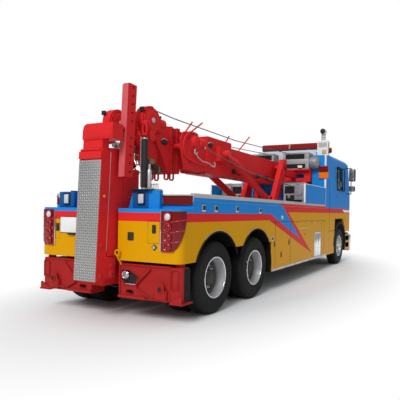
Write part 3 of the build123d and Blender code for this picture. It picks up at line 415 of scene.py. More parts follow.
def lamp_colours(tree):
    """One node holds every lamp: clear at the front, orange in the pylons' lower half, red elsewhere."""
    x, _, z = coordinates(tree)
    in_pylon = maths(tree, "MULTIPLY", maths(tree, "GREATER_THAN", x, 1.0),
                     maths(tree, "LESS_THAN", z, 2.545))
    at_front = maths(tree, "GREATER_THAN", x, 4.0)
    on_roof = maths(tree, "GREATER_THAN", z, 3.2)
    tail = blended(tree, in_pylon, (0.17, 0.002, 0.004, 1.0), (0.85, 0.17, 0.01, 1.0))
    raised = blended(tree, on_roof, tail, (0.66, 0.01, 0.045, 1.0))
    return blended(tree, at_front, raised, (0.75, 0.77, 0.78, 1.0))


lamp_lens = finish("lamp_lens", None, lamp_colours, 0.14, coat=0.25, dust=0.02, bump=0.03, edge=0.004)
gold_sign = finish("gold_sign", "panel_yellow", (0.62, 0.42, 0.1), 0.4, coat=0.3, dust=0.1)

glass = finish("glass", None, (0.1, 0.125, 0.135), 0.03, dust=0.02, bump=0.0, edge=0.001)
glass_shader = glass.node_tree.nodes["Principled BSDF"]
glass_shader.inputs["Transmission Weight"].default_value = 0.85
glass_shader.inputs["IOR"].default_value = 1.5

# %% [markdown]
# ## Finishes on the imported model
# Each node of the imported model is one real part, and wears one finish. A table from finish to nodes shows
# at a glance what is painted alike, which a list of material slots on each object wouldn't.

# %% Dress the CAD nodes
dress = {
    body_paint: ("rear_boxes", "pylons"),
    locker_paint: ("side_bodies", "cab_skirts"),
    cab_paint: ("cab_shell", "door_left", "door_right"),
    red_paint: (
        "boom_outer", "boom_inner", "boom_tower", "sheave_head_left", "sheave_head_right", "lift_barrels",
        "stinger", "stinger_inner", "underlift_carriage", "underlift_mast",
    ),
    outrigger_paint: ("outrigger_beams", "outrigger_leg_left", "outrigger_leg_right"),
    worn_red_paint: ("crossbar",),
    rod_finish: ("lift_rods",),
    deck_plate: ("deck",),
    alloy: ("trim",),
    winch_grey: ("winches",),
    white_paint: ("intake_duct", "bumper"),
    black_steel: ("chassis_frame", "front_axle", "rear_axles", "springs", "driveline", "knuckle_left",
                  "knuckle_right"),
    rim_silver: tuple(n for n in nodes if "_rim" in n),
    rubber: tuple(n for n in nodes if "tyre" in n),
    black_plastic: ("grille", "mirrors", "front_mudguards"),
    lamp_lens: ("lamps",),
    lens_red: ("light_bar",),
    glass: ("windscreen", "door_glass_left", "door_glass_right"),
    trim_cloth: ("cab_interior",),
}
for material, names in dress.items():
    for name in names:
        nodes[name].data.materials.clear()
        nodes[name].data.materials.append(material)
undressed = set(nodes) - {name for names in dress.values() for name in names}
print("nodes without a finish:", undressed)

# %% [markdown]
# ## Making pieces
# Small fittings are drawn as solids in one mesh. A `Shape` collects blocks, flat plates, bars, tubes and
# turned forms, and `make` turns them into one piece with a finish and the body that it moves with.

# %% A mesh of simple solids
made = []  # the pieces made since the last print


def tell():
    print(len(made), "pieces:", ", ".join(made))
    made.clear()


def finished(piece, material, body):
    """Gives a new piece its finish and the body that it moves with."""
    made.append(piece.name)
    mesh = piece.data
    mesh.materials.clear()
    mesh.materials.append(material)
    mesh.shade_smooth()
    mesh.set_sharp_from_angle(angle=radians(32))
    if piece.name not in scene.collection.objects:
        scene.collection.objects.link(piece)
    if body:
        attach(piece, body)
    return piece


class Shape:
    """Solids drawn into one mesh. With a side they are drawn as on the left, and mirrored to that side."""

    def __init__(self, side=None):
        self.mesh = bmesh.new()
        self.way = sides.get(side, 1)
        self.ending = f"_{side}" if side else ""

    def place(self, point):
        return Vector((point[0], self.way * point[1], point[2]))

    def frame(self, centre, axis):
        """The placed centre and axis, and two directions square to the axis."""
        axis = self.place(axis).normalized()
        first = axis.orthogonal().normalized()
        return self.place(centre), axis, first, axis.cross(first)

    def prism(self, outline, sweep, bevel=0.0, segments=2, rims_only=False):
        """A flat outline of points, swept along a vector, with all its edges or its two rims rounded."""
        near = [self.mesh.verts.new(point) for point in outline]
        far = [self.mesh.verts.new(Vector(point) + Vector(sweep)) for point in outline]
        rims = [self.mesh.faces.new(near), self.mesh.faces.new(far[::-1])]
        walls = []
        for i, j in zip(range(len(near)), [*range(1, len(near)), 0]):
            walls.append(self.mesh.faces.new((near[i], far[i], far[j], near[j])))
        if bevel:
            edges = list({edge for face in rims + walls * (not rims_only) for edge in face.edges})
            bmesh.ops.bevel(self.mesh, geom=edges, offset=bevel, segments=segments, affect="EDGES",
                            profile=0.5)
        return self

    def box(self, x, y, z, bevel=0.003, segments=2):
        """A block between two x, two y and two z values."""
        y = sorted(self.way * edge for edge in y)
        corners = [(x[0], y[0], z[0]), (x[1], y[0], z[0]), (x[1], y[1], z[0]), (x[0], y[1], z[0])]
        return self.prism(corners, (0, 0, z[1] - z[0]), bevel, segments)

    def side_plate(self, outline, y, bevel=0.002):
        """An outline of (x, z) points between two y values."""
        y = sorted(self.way * edge for edge in y)
        return self.prism([(px, y[0], pz) for px, pz in outline], (0, y[1] - y[0], 0), bevel)

    def rear_plate(self, outline, x, bevel=0.002):
        """An outline of (y, z) points between two x values."""
        return self.prism([(x[0], self.way * py, pz) for py, pz in outline], (x[1] - x[0], 0, 0), bevel)

    def rings(self, rings, closed=False):
        """A skin over rings of points that all have the same count."""
        loops = [[self.mesh.verts.new(point) for point in ring] for ring in rings]
        count = len(loops[0])
        pairs = list(zip(loops, loops[1:])) + ([(loops[-1], loops[0])] if closed else [])
        for first, second in pairs:
            for i in range(count):
                j = (i + 1) % count
                self.mesh.faces.new((first[i], first[j], second[j], second[i]))
        if not closed:
            self.mesh.faces.new(loops[0][::-1])
            self.mesh.faces.new(loops[-1])
        return self

    def tube(self, points, radius, sides=12, closed=False):
        """A round bar through points, with its rings square to the path."""
        path = [self.place(point) for point in points]
        count = len(path)
        rings = []
        normal = None
        for n, point in enumerate(path):
            before = path[n - 1] if n or closed else point
            after = path[(n + 1) % count] if n < count - 1 or closed else point
            along = (after - before).normalized()
            if normal is None:
                normal = along.orthogonal().normalized()
            normal = (normal - along * normal.dot(along)).normalized()
            binormal = along.cross(normal)
            angles = [2 * pi * k / sides for k in range(sides)]
            rings.append([point + radius * (cos(a) * normal + sin(a) * binormal) for a in angles])
        return self.rings(rings, closed)

    def turned(self, outline, centre, axis, sides=48, dip=None):
        """A closed ring outline of (radius, distance) points turned about an axis through a centre."""
        centre, axis, first, second = self.frame(centre, axis)
        rings = []
        for n in range(sides):
            angle = 2 * pi * n / sides
            out = cos(angle) * first + sin(angle) * second
            ring = []
            for radius, along in outline:
                shown = dip(radius, along, n) if dip else radius
                ring.append(centre + out * shown + axis * along)
            rings.append(ring)
        return self.rings(rings, closed=True)

    def disc(self, centre, axis, radius, depth, sides=28, bevel=0.002):
        """A short round bar from a centre along an axis."""
        centre, axis, first, second = self.frame(centre, axis)
        angles = [2 * pi * n / sides for n in range(sides)]
        outline = [centre + radius * (cos(a) * first + sin(a) * second) for a in angles]
        return self.prism(outline, axis * depth, bevel, rims_only=True)

    def moved(self, matrix):
        bmesh.ops.transform(self.mesh, matrix=matrix, verts=self.mesh.verts)
        return self

    def drawn(self, name):
        """The mesh as an object. It isn't a piece of its own yet."""
        bmesh.ops.recalc_face_normals(self.mesh, faces=self.mesh.faces)
        data = bpy.data.meshes.new(name)
        self.mesh.to_mesh(data)
        self.mesh.free()
        return bpy.data.objects.new(name, data)

    def make(self, name, material, body="chassis"):
        return finished(self.drawn(name + self.ending), material, body)


def span(middle, half):
    return (middle - half, middle + half)


outward = (0, 1, 0)  # away from the truck's middle, on the left side


def shapes(count, side=None):
    return [Shape(side) for _ in range(count)]


def both(*shapes):
    """Draws the same twice: once for each side, with the shapes mirrored to it."""
    for way in sides.values():
        for shape in shapes:
            shape.way = way
        yield
    for shape in shapes:
        shape.way = 1


def arc(start, end, steps, radius=1.0, centre=(0.0, 0.0)):
    """The ends of equal steps along a flat arc, between two angles in degrees."""
    angles = [radians(start + (end - start) * k / steps) for k in range(steps + 1)]
    return [(centre[0] + radius * cos(a), centre[1] + radius * sin(a)) for a in angles]


def circle_of(count, radius=1.0, centre=(0.0, 0.0), turned=0.0):
    """Points all round a flat circle. `turned` moves the first one on by a part of a step."""
    return arc(360 * turned / count, 360 * (count + turned) / count, count, radius, centre)[:count]


def curve_through(points, steps=8, closed=False):
    """Points along a smooth curve through the given ones."""
    path = [Vector(point) for point in points]
    count = len(path)
    spans = count if closed else count - 1
    out = []
    for n in range(spans):
        near = [path[(n + k) % count] if closed else path[min(max(n + k, 0), count - 1)] for k in (-1, 0, 1,
                                                                                                   2)]
        p0, p1, p2, p3 = near
        for step in range(steps):
            t = step / steps
            out.append(
                0.5 * (2 * p1 + (p2 - p0) * t + (2 * p0 - 5 * p1 + 4 * p2 - p3) * t**2
                       + (3 * p1 - p0 - 3 * p2 + p3) * t**3)
            )
    if not closed:
        out.append(path[-1])
    return out


# %% [markdown]
# ## Repeats with Geometry Nodes
# Nuts, rivets, chain links and the bars of a chequer plate are one small part, repeated by a rule. Each
# tree takes the part and its sizes as named inputs, places instances and makes them real at its end.

# %% Geometry Nodes trees
geometry = {"GEOMETRY": "NodeSocketGeometry", "OBJECT": "NodeSocketObject", "INT": "NodeSocketInt",
            "FLOAT": "NodeSocketFloat", "VECTOR": "NodeSocketVector", "MATERIAL": "NodeSocketMaterial"}


def repeat_tree(name, inputs):
    """An empty tree with named inputs, and its input and output nodes."""
    tree = bpy.data.node_groups.new(name, "GeometryNodeTree")
    tree.interface.new_socket("Geometry", in_out="OUTPUT", socket_type="NodeSocketGeometry")
    for label, kind in inputs:
        tree.interface.new_socket(label, in_out="INPUT", socket_type=geometry[kind])
    return tree, tree.nodes.new("NodeGroupInput").outputs, tree.nodes.new("NodeGroupOutput").inputs


def place_parts(tree, given, out, points, rotation):
    """Instances of the part on the points, made real, with the given finish."""
    part = add(tree, "GeometryNodeObjectInfo", {"Object": given["Part"]}).outputs["Geometry"]
    sockets = {"Points": points, "Instance": part, "Rotation": rotation}
    placed = add(tree, "GeometryNodeInstanceOnPoints", sockets).outputs[0]
    real = add(tree, "GeometryNodeRealizeInstances", {"Geometry": placed}).outputs[0]
    painted = add(tree, "GeometryNodeSetMaterial", {"Geometry": real, "Material": given["Finish"]})
    tree.links.new(painted.outputs[0], out["Geometry"])


def turned_about_z(tree, angle):
    return add(tree, "ShaderNodeCombineXYZ", {"Z": angle}).outputs[0]


ring_tree, given, out = repeat_tree(
    "ring_of_parts", [("Part", "OBJECT"), ("Count", "INT"), ("Radius", "FLOAT"), ("Finish", "MATERIAL")]
)
circle = add(ring_tree, "GeometryNodeMeshCircle", {"Vertices": given["Count"], "Radius": given["Radius"]})
step = maths(ring_tree, "DIVIDE", 2 * pi, given["Count"])
angle = maths(ring_tree, "MULTIPLY", add(ring_tree, "GeometryNodeInputIndex").outputs[0], step)
place_parts(ring_tree, given, out, circle.outputs[0], turned_about_z(ring_tree, angle))

row_tree, given, out = repeat_tree(
    "row_of_parts", [("Part", "OBJECT"), ("Count", "INT"), ("Step", "VECTOR"), ("Finish", "MATERIAL")]
)
line = add(row_tree, "GeometryNodeMeshLine", {"Count": given["Count"], "Offset": given["Step"]})
place_parts(row_tree, given, out, line.outputs[0], (0, 0, 0))

chequer_tree, given, out = repeat_tree(
    "chequer_field",
    [("Part", "OBJECT"), ("Columns", "INT"), ("Rows", "INT"), ("Pitch", "FLOAT"), ("Finish", "MATERIAL")],
)
wide = maths(chequer_tree, "MULTIPLY", maths(chequer_tree, "SUBTRACT", given["Columns"], 1), given["Pitch"])
long = maths(chequer_tree, "MULTIPLY", maths(chequer_tree, "SUBTRACT", given["Rows"], 1), given["Pitch"])
grid = add(
    chequer_tree, "GeometryNodeMeshGrid",
    {"Size X": wide, "Size Y": long, "Vertices X": given["Columns"], "Vertices Y": given["Rows"]},
)
index = add(chequer_tree, "GeometryNodeInputIndex").outputs[0]
column = maths(chequer_tree, "FLOOR", maths(chequer_tree, "DIVIDE", index, given["Rows"]))
row = maths(chequer_tree, "MODULO", index, given["Rows"])
parity = maths(chequer_tree, "MODULO", maths(chequer_tree, "ADD", column, row), 2)
lean = maths(chequer_tree, "MULTIPLY", maths(chequer_tree, "SUBTRACT", parity, 0.5), pi / 2)
place_parts(chequer_tree, given, out, grid.outputs[0], turned_about_z(chequer_tree, lean))

chain_tree, given, out = repeat_tree(
    "parts_on_curve", [("Path", "OBJECT"), ("Part", "OBJECT"), ("Step", "FLOAT"), ("Finish", "MATERIAL")]
)
path = add(chain_tree, "GeometryNodeObjectInfo", {"Object": given["Path"]}).outputs["Geometry"]
dots = add(chain_tree, "GeometryNodeCurveToPoints", {"Curve": path, "Length": given["Step"]}, mode="LENGTH")
index = add(chain_tree, "GeometryNodeInputIndex").outputs[0]
quarter = maths(chain_tree, "MULTIPLY", maths(chain_tree, "MODULO", index, 2), pi / 2)
twist = add(chain_tree, "FunctionNodeRotateRotation", {0: dots.outputs["Rotation"]}, rotation_space="LOCAL")
chain_tree.links.new(turned_about_z(chain_tree, quarter), twist.inputs[1])
place_parts(chain_tree, given, out, dots.outputs["Points"], twist.outputs[0])


def repeated(name, tree, settings, material, body, place=Matrix()):
    """Runs a tree with its named inputs and keeps the result as one plain mesh, moved to its place."""
    host = bpy.data.objects.new(name + "_host", bpy.data.meshes.new(name + "_host"))
    scene.collection.objects.link(host)
    modifier = host.modifiers.new("repeat", "NODES")
    modifier.node_group = tree
    for item in tree.interface.items_tree:
        if item.in_out == "INPUT" and item.name in {**settings, "Finish": material}:
            modifier[item.identifier] = {**settings, "Finish": material}[item.name]
    bpy.context.view_layer.update()
    ready = host.evaluated_get(bpy.context.evaluated_depsgraph_get())
    data = bpy.data.meshes.new_from_object(ready)
    bpy.data.objects.remove(host)
    data.transform(place)
    data.name = name
    return finished(bpy.data.objects.new(name, data), material, body)


def facing(centre, normal, up=(0, 0, 1)):
    """A place whose local Z is the normal and whose local Y leans to `up`."""
    z = Vector(normal).normalized()
    x = Vector(up).cross(z).normalized()
    y = z.cross(x)
    return Matrix.Translation(centre) @ Matrix((x, y, z)).transposed().to_4x4()


# %% [markdown]
# ## Tyres
# A lorry tyre is a flat tread with grooves between rounded shoulders, and its shoulder blocks are cut
# across. A torus with a bump would do from afar, but the tread's edge shows against the floor. So the
# section is turned about the axle, and every third step of the shoulder is cut back.


tell()

# %% Tyres
tyre_radius, tyre_width, tyre_outer_y, twin_gap = 0.525, 0.28, 1.23, 0.07
axles = {"front": 3.525, "rearmost": -3.635, "leading": -2.315}
tread_groups = 54
groove_depth = 0.013
grooves = (0.078, 0.119, 0.161, 0.202)  # from the tyre's outer face


def tyre_profile():
    """(radius, distance from the outer face) from the outer bead over the tread to the inner bead."""
    wall = [(0.3, 0.016), (0.306, 0.006), (0.322, 0.003), (0.33, 0.007), (0.336, 0.003), (0.395, 0.001),
            (0.44, 0.001), (0.444, -0.001), (0.452, -0.001), (0.456, 0.003), (0.484, 0.008), (0.505, 0.018),
            (0.517, 0.03), (0.5235, 0.042), (tyre_radius, 0.05)]
    tread = []
    for place in grooves:
        for radius, offset in ((0, -0.006), (-groove_depth, -0.004), (-groove_depth, 0.004), (0, 0.006)):
            tread.append((tyre_radius + radius, place + offset))
    inner = [(radius, tyre_width - along) for radius, along in reversed(wall)]
    return wall + tread + inner


def cut_shoulder(radius, along, n):
    """Every third step of the shoulder is a notch between two tread blocks."""
    near_edge = min(abs(along), tyre_width - abs(along))
    if n % 3 == 0 and 0.017 < near_edge < 0.06 and radius > 0.5:
        return radius - 0.01
    return radius


def tyre_piece(name, node, x, way, outer_faces):
    shape = Shape()
    for outer in outer_faces:
        profile = [(radius, -along) for radius, along in tyre_profile()]
        shape.turned(profile, (x, way * outer, tyre_radius), (0, way, 0), tread_groups * 3, cut_shoulder)
    piece = shape.make(name, rubber, body_of_node[node])
    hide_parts(node)


bodies = frame["record"]["behaviour"]["bodies"]
body_of_node = {node: body for body, members in bodies.items() for node in members}
for side, way in sides.items():
    tyre_piece(f"tyre_front_{side}", f"front_tyre_{side}", axles["front"], way, [tyre_outer_y])
    twin = [tyre_outer_y, tyre_outer_y - tyre_width - twin_gap]
    for axle in ("rearmost", "leading"):
        tyre_piece(f"tyres_{axle}_{side}", f"{axle}_tyres_{side}", axles[axle], way, twin)
tell()

# %% [markdown]
# ## Wheels
# A steel disc wheel has ten nuts, round hand holes and a rolled rim lip, and a twin wheel is dished so far
# inwards that its hub stands in a bowl. The nuts are one small mesh that a node tree repeats in a ring. The
# round forms are turned from a section, which keeps them smooth with few numbers.

# %% Wheel nuts and hubs
nut = Shape()
nut.disc((0, 0, 0), (0, 0, 1), 0.0155, 0.02, sides=6)
nut.disc((0, 0, 0.018), (0, 0, 1), 0.01, 0.016, sides=12, bevel=0.0015)
nut.disc((0, 0, -0.002), (0, 0, 1), 0.021, 0.006, sides=18, bevel=0.001)
nut = nut.drawn("nut")
nut_circle = 0.1675
faces = {"front": 1.165, "rearmost": 1.06, "leading": 1.06}  # where the nuts sit on each wheel disc
for axle, x in axles.items():
    front = axle == "front"
    for side, way in sides.items():
        body = f"wheel_front_{side}" if front else f"wheels_{axle}_{side}"
        trim, dark, liner, hole_shade, hub = shapes(5, side)
        middle = (x, 0, tyre_radius)
        repeated(f"nuts_{axle}_{side}", ring_tree, {"Part": nut, "Count": 10, "Radius": nut_circle}, chrome,
                 body, facing((x, way * faces[axle], tyre_radius), (0, way, 0)))
        rolled = [(0.284, -0.012), (0.297, -0.012), (0.3, -0.002), (0.296, 0.003), (0.288, 0.003),
                  (0.2835, -0.003)]
        trim.turned(rolled, (x, 1.219 if front else 1.227, tyre_radius), outward, 96)
        if front:
            ring = [(0.145, -0.001), (0.192, -0.001), (0.192, 0.004), (0.187, 0.008), (0.15, 0.008),
                    (0.145, 0.004)]
            trim.turned(ring, (x, faces[axle], tyre_radius), outward, 64)
            dark.turned([(0.097, 1.2), (0.101, 1.2), (0.101, 1.206), (0.097, 1.206)], middle, outward, 40)
            barrel = [(0.2835, 1.14), (0.2835, 1.207), (0.279, 1.207), (0.2755, 1.18), (0.27, 1.14)]
            hole_radius, hole_circle, hole_y, deep = 0.024, 0.242, 1.1495, 0.006
            hub_y, hub_radius = 1.205, 0.075
        else:
            cone = [(0.104, 1.06), (0.195, 1.06), (0.205, 1.052), (0.24, 1.056), (0.276, 1.092),
                    (0.278, 1.084), (0.24, 1.046), (0.104, 1.046)]
            dark.turned(cone, middle, outward, 64)
            tube = [(0.1, 1.139), (0.109, 1.134), (0.1195, 1.01), (0.116, 1.006), (0.1055, 1.128),
                    (0.1, 1.132)]
            dark.turned(tube, middle, outward, 48)
            barrel = [(0.2835, 1.08), (0.2835, 1.222), (0.28, 1.222), (0.2745, 1.16), (0.268, 1.13),
                      (0.268, 1.082)]
            hole_radius, hole_circle, hole_y, deep = 0.022, 0.222, 1.0535, 0.004
            hub_y, hub_radius = 1.133, 0.098
            repeated(f"hub_bolts_{axle}_{side}", ring_tree, {"Part": nut, "Count": 8, "Radius": 0.084},
                     black_steel,
                     body, facing((x, way * 1.131, tyre_radius), (0, way, 0)) @ Matrix.Scale(0.45, 4))
        # Black discs in the hand holes are painted shade.
        for px, pz in circle_of(10, hole_circle, (x, tyre_radius), 0.5):
            hole_shade.disc((px, hole_y, pz), outward, hole_radius, deep, bevel=deep / 3 if front else deep / 4)
        liner.turned(barrel, middle, outward, 96)
        dome = [(0.0, 0.022), (hub_radius * 0.55, 0.019), (hub_radius * 0.85, 0.01), (hub_radius, 0.0),
                (hub_radius, -0.004), (0.0, -0.004)]
        hub.turned(dome, (x, hub_y, tyre_radius), outward, 40)
        for shape, name, material in (
            (trim, "wheel_trim", chrome), (dark, "wheel_dark", wheel_dark),
            (hole_shade, "wheel_holes", shadow_black), (liner, "rim_barrel", barrel_silver),
            (hub, "hub_cap", rim_silver if front else black_steel),
        ):
            shape.make(f"{name}_{axle}", material, body)
bpy.data.objects.remove(nut)
tell()

# %% [markdown]
# ## Ropes
# Two steel ropes run forward from the winches on the tower, over the boom, to the sheaves at its head. A
# smooth bar would look like wire, so three strands wind about each core. Each rope is drawn as two pieces
# that meet over the boom.

# %% Taut ropes
rope_radius = 0.0085
rope_y = 0.3
winch_top = (1.86, 3.045)
over_tower = (0.01, 2.957)
over_boom = (-1.36, 2.905)
sheave_top = (-4.05, 2.957)


def laid_rope(name, points, body=None):
    """A steel rope: a round core with strands that wind about it."""
    shape = Shape()
    path = [Vector(point) for point in points]
    dense = []
    for a, b in zip(path, path[1:]):
        steps = max(2, int((b - a).length / 0.035))
        dense += [a.lerp(b, n / steps) for n in range(steps)]
    dense.append(path[-1])
    shape.tube(dense, rope_radius * 0.9, 8)
    lay = 0.22
    for strand in range(3):
        wound = []
        gone = 0.0
        for n, point in enumerate(dense):
            if n:
                gone += (point - dense[n - 1]).length
            along = (dense[min(n + 1, len(dense) - 1)] - dense[max(n - 1, 0)]).normalized()
            out = along.cross(Vector((0, 1, 0))).normalized()
            angle = 2 * pi * (gone / lay + strand / 3)
            wound.append(point + rope_radius * 0.55 * (cos(angle) * out + sin(angle) * along.cross(out)))
        shape.tube(wound, rope_radius * 0.62, 6)
    print(name, round(sum((b - a).length for a, b in zip(path, path[1:])), 2), "m")
    return shape.make(name, rope_steel, body)


for side, way in sides.items():
    y = way * rope_y
    front = [(x, y, z) for x, z in (winch_top, over_tower, over_boom)]
    rope = laid_rope(f"rope_front_{side}", front)
    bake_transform(rope)
    rear = [front[-1], (-3.4, y, 2.925), (sheave_top[0], y, sheave_top[1])]
    rope = laid_rope(f"rope_rear_{side}", rear)
    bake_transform(rope)
tell()

# %% [markdown]
# ## Sheave heads
# At the boom's head each rope runs over a grooved wheel between two cheek plates. A plain disc would look
# like a coin, so each cheek gets a raised lip and a hub ring, turned from small sections.

# %% Sheave heads
sheave_x, sheave_z = -4.05, 2.77
for side, way in sides.items():
    body = f"sheave_head_{side}"
    rim, pin, wheel = shapes(3, side)
    for cheek in (-1, 1):
        face, out = (sheave_x, rope_y + cheek * 0.0755, sheave_z), (0, cheek, 0)
        rim.turned([(0.15, -0.004), (0.178, -0.004), (0.181, 0.003), (0.178, 0.01), (0.15, 0.008)], face,
                   out, 56)
        rim.turned([(0.062, -0.003), (0.076, -0.003), (0.074, 0.012), (0.064, 0.012)], face, out, 40)
        pin.disc((sheave_x, rope_y + cheek * 0.095, sheave_z), out, 0.036, 0.012, bevel=0.003)
        pin.disc((sheave_x, rope_y + cheek * 0.107, sheave_z), out, 0.016, 0.008, sides=6)
    for k in (0, 1):
        lug = [(sheave_x - 0.1 + 0.02 * k, 2.625), (sheave_x - 0.02, 2.6), (sheave_x + 0.02, 2.5),
               (sheave_x - 0.03, 2.455), (sheave_x - 0.09, 2.47), (sheave_x - 0.12, 2.56)]
        lug_y = 0.372 - way * 0.05 * k  # both heads' second lug stands to the truck's right of the first
        rim.side_plate(lug, span(lug_y, 0.006), 0.002)
    groove = [(0.15, -0.03), (0.172, -0.03), (0.16, -0.012), (0.158, 0.0), (0.16, 0.012), (0.172, 0.03),
              (0.15, 0.03)]
    wheel.turned(groove, (sheave_x, rope_y, sheave_z), outward, 56)
    rim.make("sheave_rim", red_paint, body)
    pin.make("sheave_pin", alloy, body)
    wheel.make("sheave_wheel", black_steel, body)
tell()

# %% [markdown]
# ## Winches
# Two winches stand on the tower and two on the deck: each is a drum between flanges, behind a plate with a
# window. Little of the rope shows, so it is one bar that winds about the drum, without crossing layers.
# The plate is four strips round its window, which are simpler to round than the edges of a boolean cut.

# %% Winches
coil_radius = 0.01
winch_sets = [  # x, z bottom, y inner, y outer, length, height
    (1.72, 2.62, 0.14, 0.84, 0.36, 0.43),
    (0.72, 1.695, 0.56, 1.1, 0.56, 0.49),
]
# from the winch's own corner: the rear plate's bottom, and the window's bottom, top, inner and outer edge
window_sets = [
    (0.135, 0.265, 0.395, 0.06, 0.59),
    (0.205, 0.235, 0.415, 0.02, 0.28),
]


def helix(middle, y, turns, radius, pitch):
    """A coil about an axis along Y, with 20 points for each turn."""
    steps = arc(0, 360 * turns, turns * 20, radius, middle)[:-1]
    return [(x, y + pitch * n / 20, z) for n, (x, z) in enumerate(steps)]


def ring_of_bolts(shape, middle, circle, y, count, radius, height):
    for x, z in circle_of(count, circle, middle):
        shape.disc((x, y, z), outward, radius, height, sides=6, bevel=0.001)


for n, (x, z, y_in, y_out, length, height) in enumerate(winch_sets):
    plate_low, window_low, window_high, window_in, window_out = window_sets[n]
    middle = (x + length / 2, z + height * 0.52)
    drum_radius = height * 0.34
    coil_from, coil_to, coil_pitch = y_in + 0.185, y_out - 0.065, 2.15 * coil_radius
    turns = int((coil_to - coil_from) / coil_pitch)
    motor_end = y_out + 0.11
    near, far = y_in - 0.006, y_out + 0.006
    window_y = (y_in + window_in, y_in + window_out)
    plate_z, window_z = (z + plate_low, z + height + 0.008), (z + window_low, z + window_high)
    face = (x - 0.014, x - 0.001)
    for side in sides:
        coil, housing, plate, window_shade, motor = shapes(5, side)
        coil.tube(helix(middle, coil_from, turns, drum_radius + 0.006, coil_pitch), coil_radius, 8)
        flange = [(0.02, -0.006), (drum_radius + 0.03, -0.006), (drum_radius + 0.034, 0.0),
                  (drum_radius + 0.03, 0.006), (0.02, 0.006)]
        for y in (y_in, y_in + 0.18, y_out - 0.062, y_out):
            housing.turned(flange, (middle[0], y, middle[1]), outward, 48)
        cap = [(0.0, 0.014), (0.045, 0.012), (0.066, 0.004), (0.069, -0.004), (0.0, -0.004)]
        housing.turned(cap, (middle[0], motor_end, middle[1]), outward, 40)
        ring_of_bolts(housing, middle, 0.053, motor_end + 0.004, 6, 0.008, 0.01)
        for y, z_pair in (((near, far), (window_z[1], plate_z[1])), ((near, far), (plate_z[0], window_z[0])),
                          ((near, window_y[0]), window_z), ((window_y[1], far), window_z)):
            plate.box(face, y, z_pair, 0.003)
        for y in ((y_in - 0.004, y_in + 0.05), (y_out - 0.09, y_out + 0.004)):
            plate.box((x - 0.012, x - 0.001), y, (z + 0.001, plate_z[0]))
        plate.box((x - 0.02, x - 0.01), (near, far), (plate_z[1] - 0.022, plate_z[1]), 0.004)
        # Painted shade: a black sheet fills the window, and another hangs below the plate.
        window_shade.box((x - 0.0055, x - 0.0015), window_y, window_z, 0.0)
        window_shade.box((x - 0.0075, x - 0.0012), (y_in + 0.052, y_out - 0.092), (z + 0.03, plate_z[0] - 0.002),
                  0.0)
        if n == 0:
            lamp = Shape(side)
            lamp.box((x - 0.045, x - 0.008), (0.555, 0.675), (2.65, 2.715), 0.008)
            lamp.make("winch_lamp", white_paint)
            dome = [(0.0, 0.25), (0.06, 0.246), (0.11, 0.228), (0.145, 0.19), (0.16, 0.14),
                    (0.163, 0.08), (0.163, 0.006), (0.0, 0.006)]
            motor.turned(dome, (middle[0], y_out, 2.795), outward, 48)
            ring_of_bolts(motor, (middle[0], 2.795), 0.142, y_out + 0.2, 8, 0.01, 0.012)
        else:
            motor.box((x - 0.075, x - 0.002), (y_in + 0.285, y_out + 0.02), (z + 0.085, z + height - 0.045),
                      0.02, 3)
            motor.disc((x - 0.075, y_out - 0.13, middle[1]), (-1, 0, 0), 0.075, 0.02, bevel=0.006)
            motor.disc((x + 0.02, y_in + 0.36, z + height - 0.045), (0, 0, 1), 0.055, 0.06, bevel=0.015)
            motor.box((x - 0.035, x - 0.002), (y_in + 0.1, y_in + 0.17), (z + 0.13, z + 0.215), 0.006)
        for shape, name, material in (
            (coil, "rope_on_drum", rope_steel), (housing, "winch_fittings", winch_grey),
            (plate, "winch_plate", plate_grey), (window_shade, "winch_openings", shadow_black),
            (motor, "winch_motor", winch_grey),
        ):
            shape.make(f"{name}_{n}", material)
tell()

# %% [markdown]
# ## Lamps and marks on the body
# Each side carries square lamps in the blue band, round ones above the lockers, orange lamps along the
# sill, and the latches of the locker doors. They are blocks and discs a few millimetres thick, because
# painted marks wouldn't catch the light at their edges.

# %% Side fittings
side_y = 1.245
blue_lamps = ((-4.02, 1.522), (-3.69, 1.52), (-3.04, 1.521), (-2.17, 1.507))
dot_lamps = ((-0.24, 1.279), (0.27, 1.272), (0.78, 1.265), (1.31, 1.258), (1.75, 1.277), (0.28, 1.0))
latches = ((-1.48, 0.88), (-0.71, 0.874), (-1.14, 0.653))
door_lines = (-1.45, -0.62, 1.62, 1.86)  # upright seams between the locker doors
level_lines = ((-0.1, 0.62, 1.128),)  # x from, x to, z
sill_lamp_xs = (-1.42, -0.9, -0.38, 0.14, 0.66, 1.62)


def out_from(near, far):
    """Two y values, measured outwards from the body's side."""
    return (side_y + near, side_y + far)


def latch(shape, x, z):
    shape.box(span(x, 0.022), out_from(-0.001, 0.006), span(z, 0.055), 0.004)
    shape.box(span(x, 0.012), out_from(0.005, 0.014), (z - 0.04, z + 0.03), 0.004)


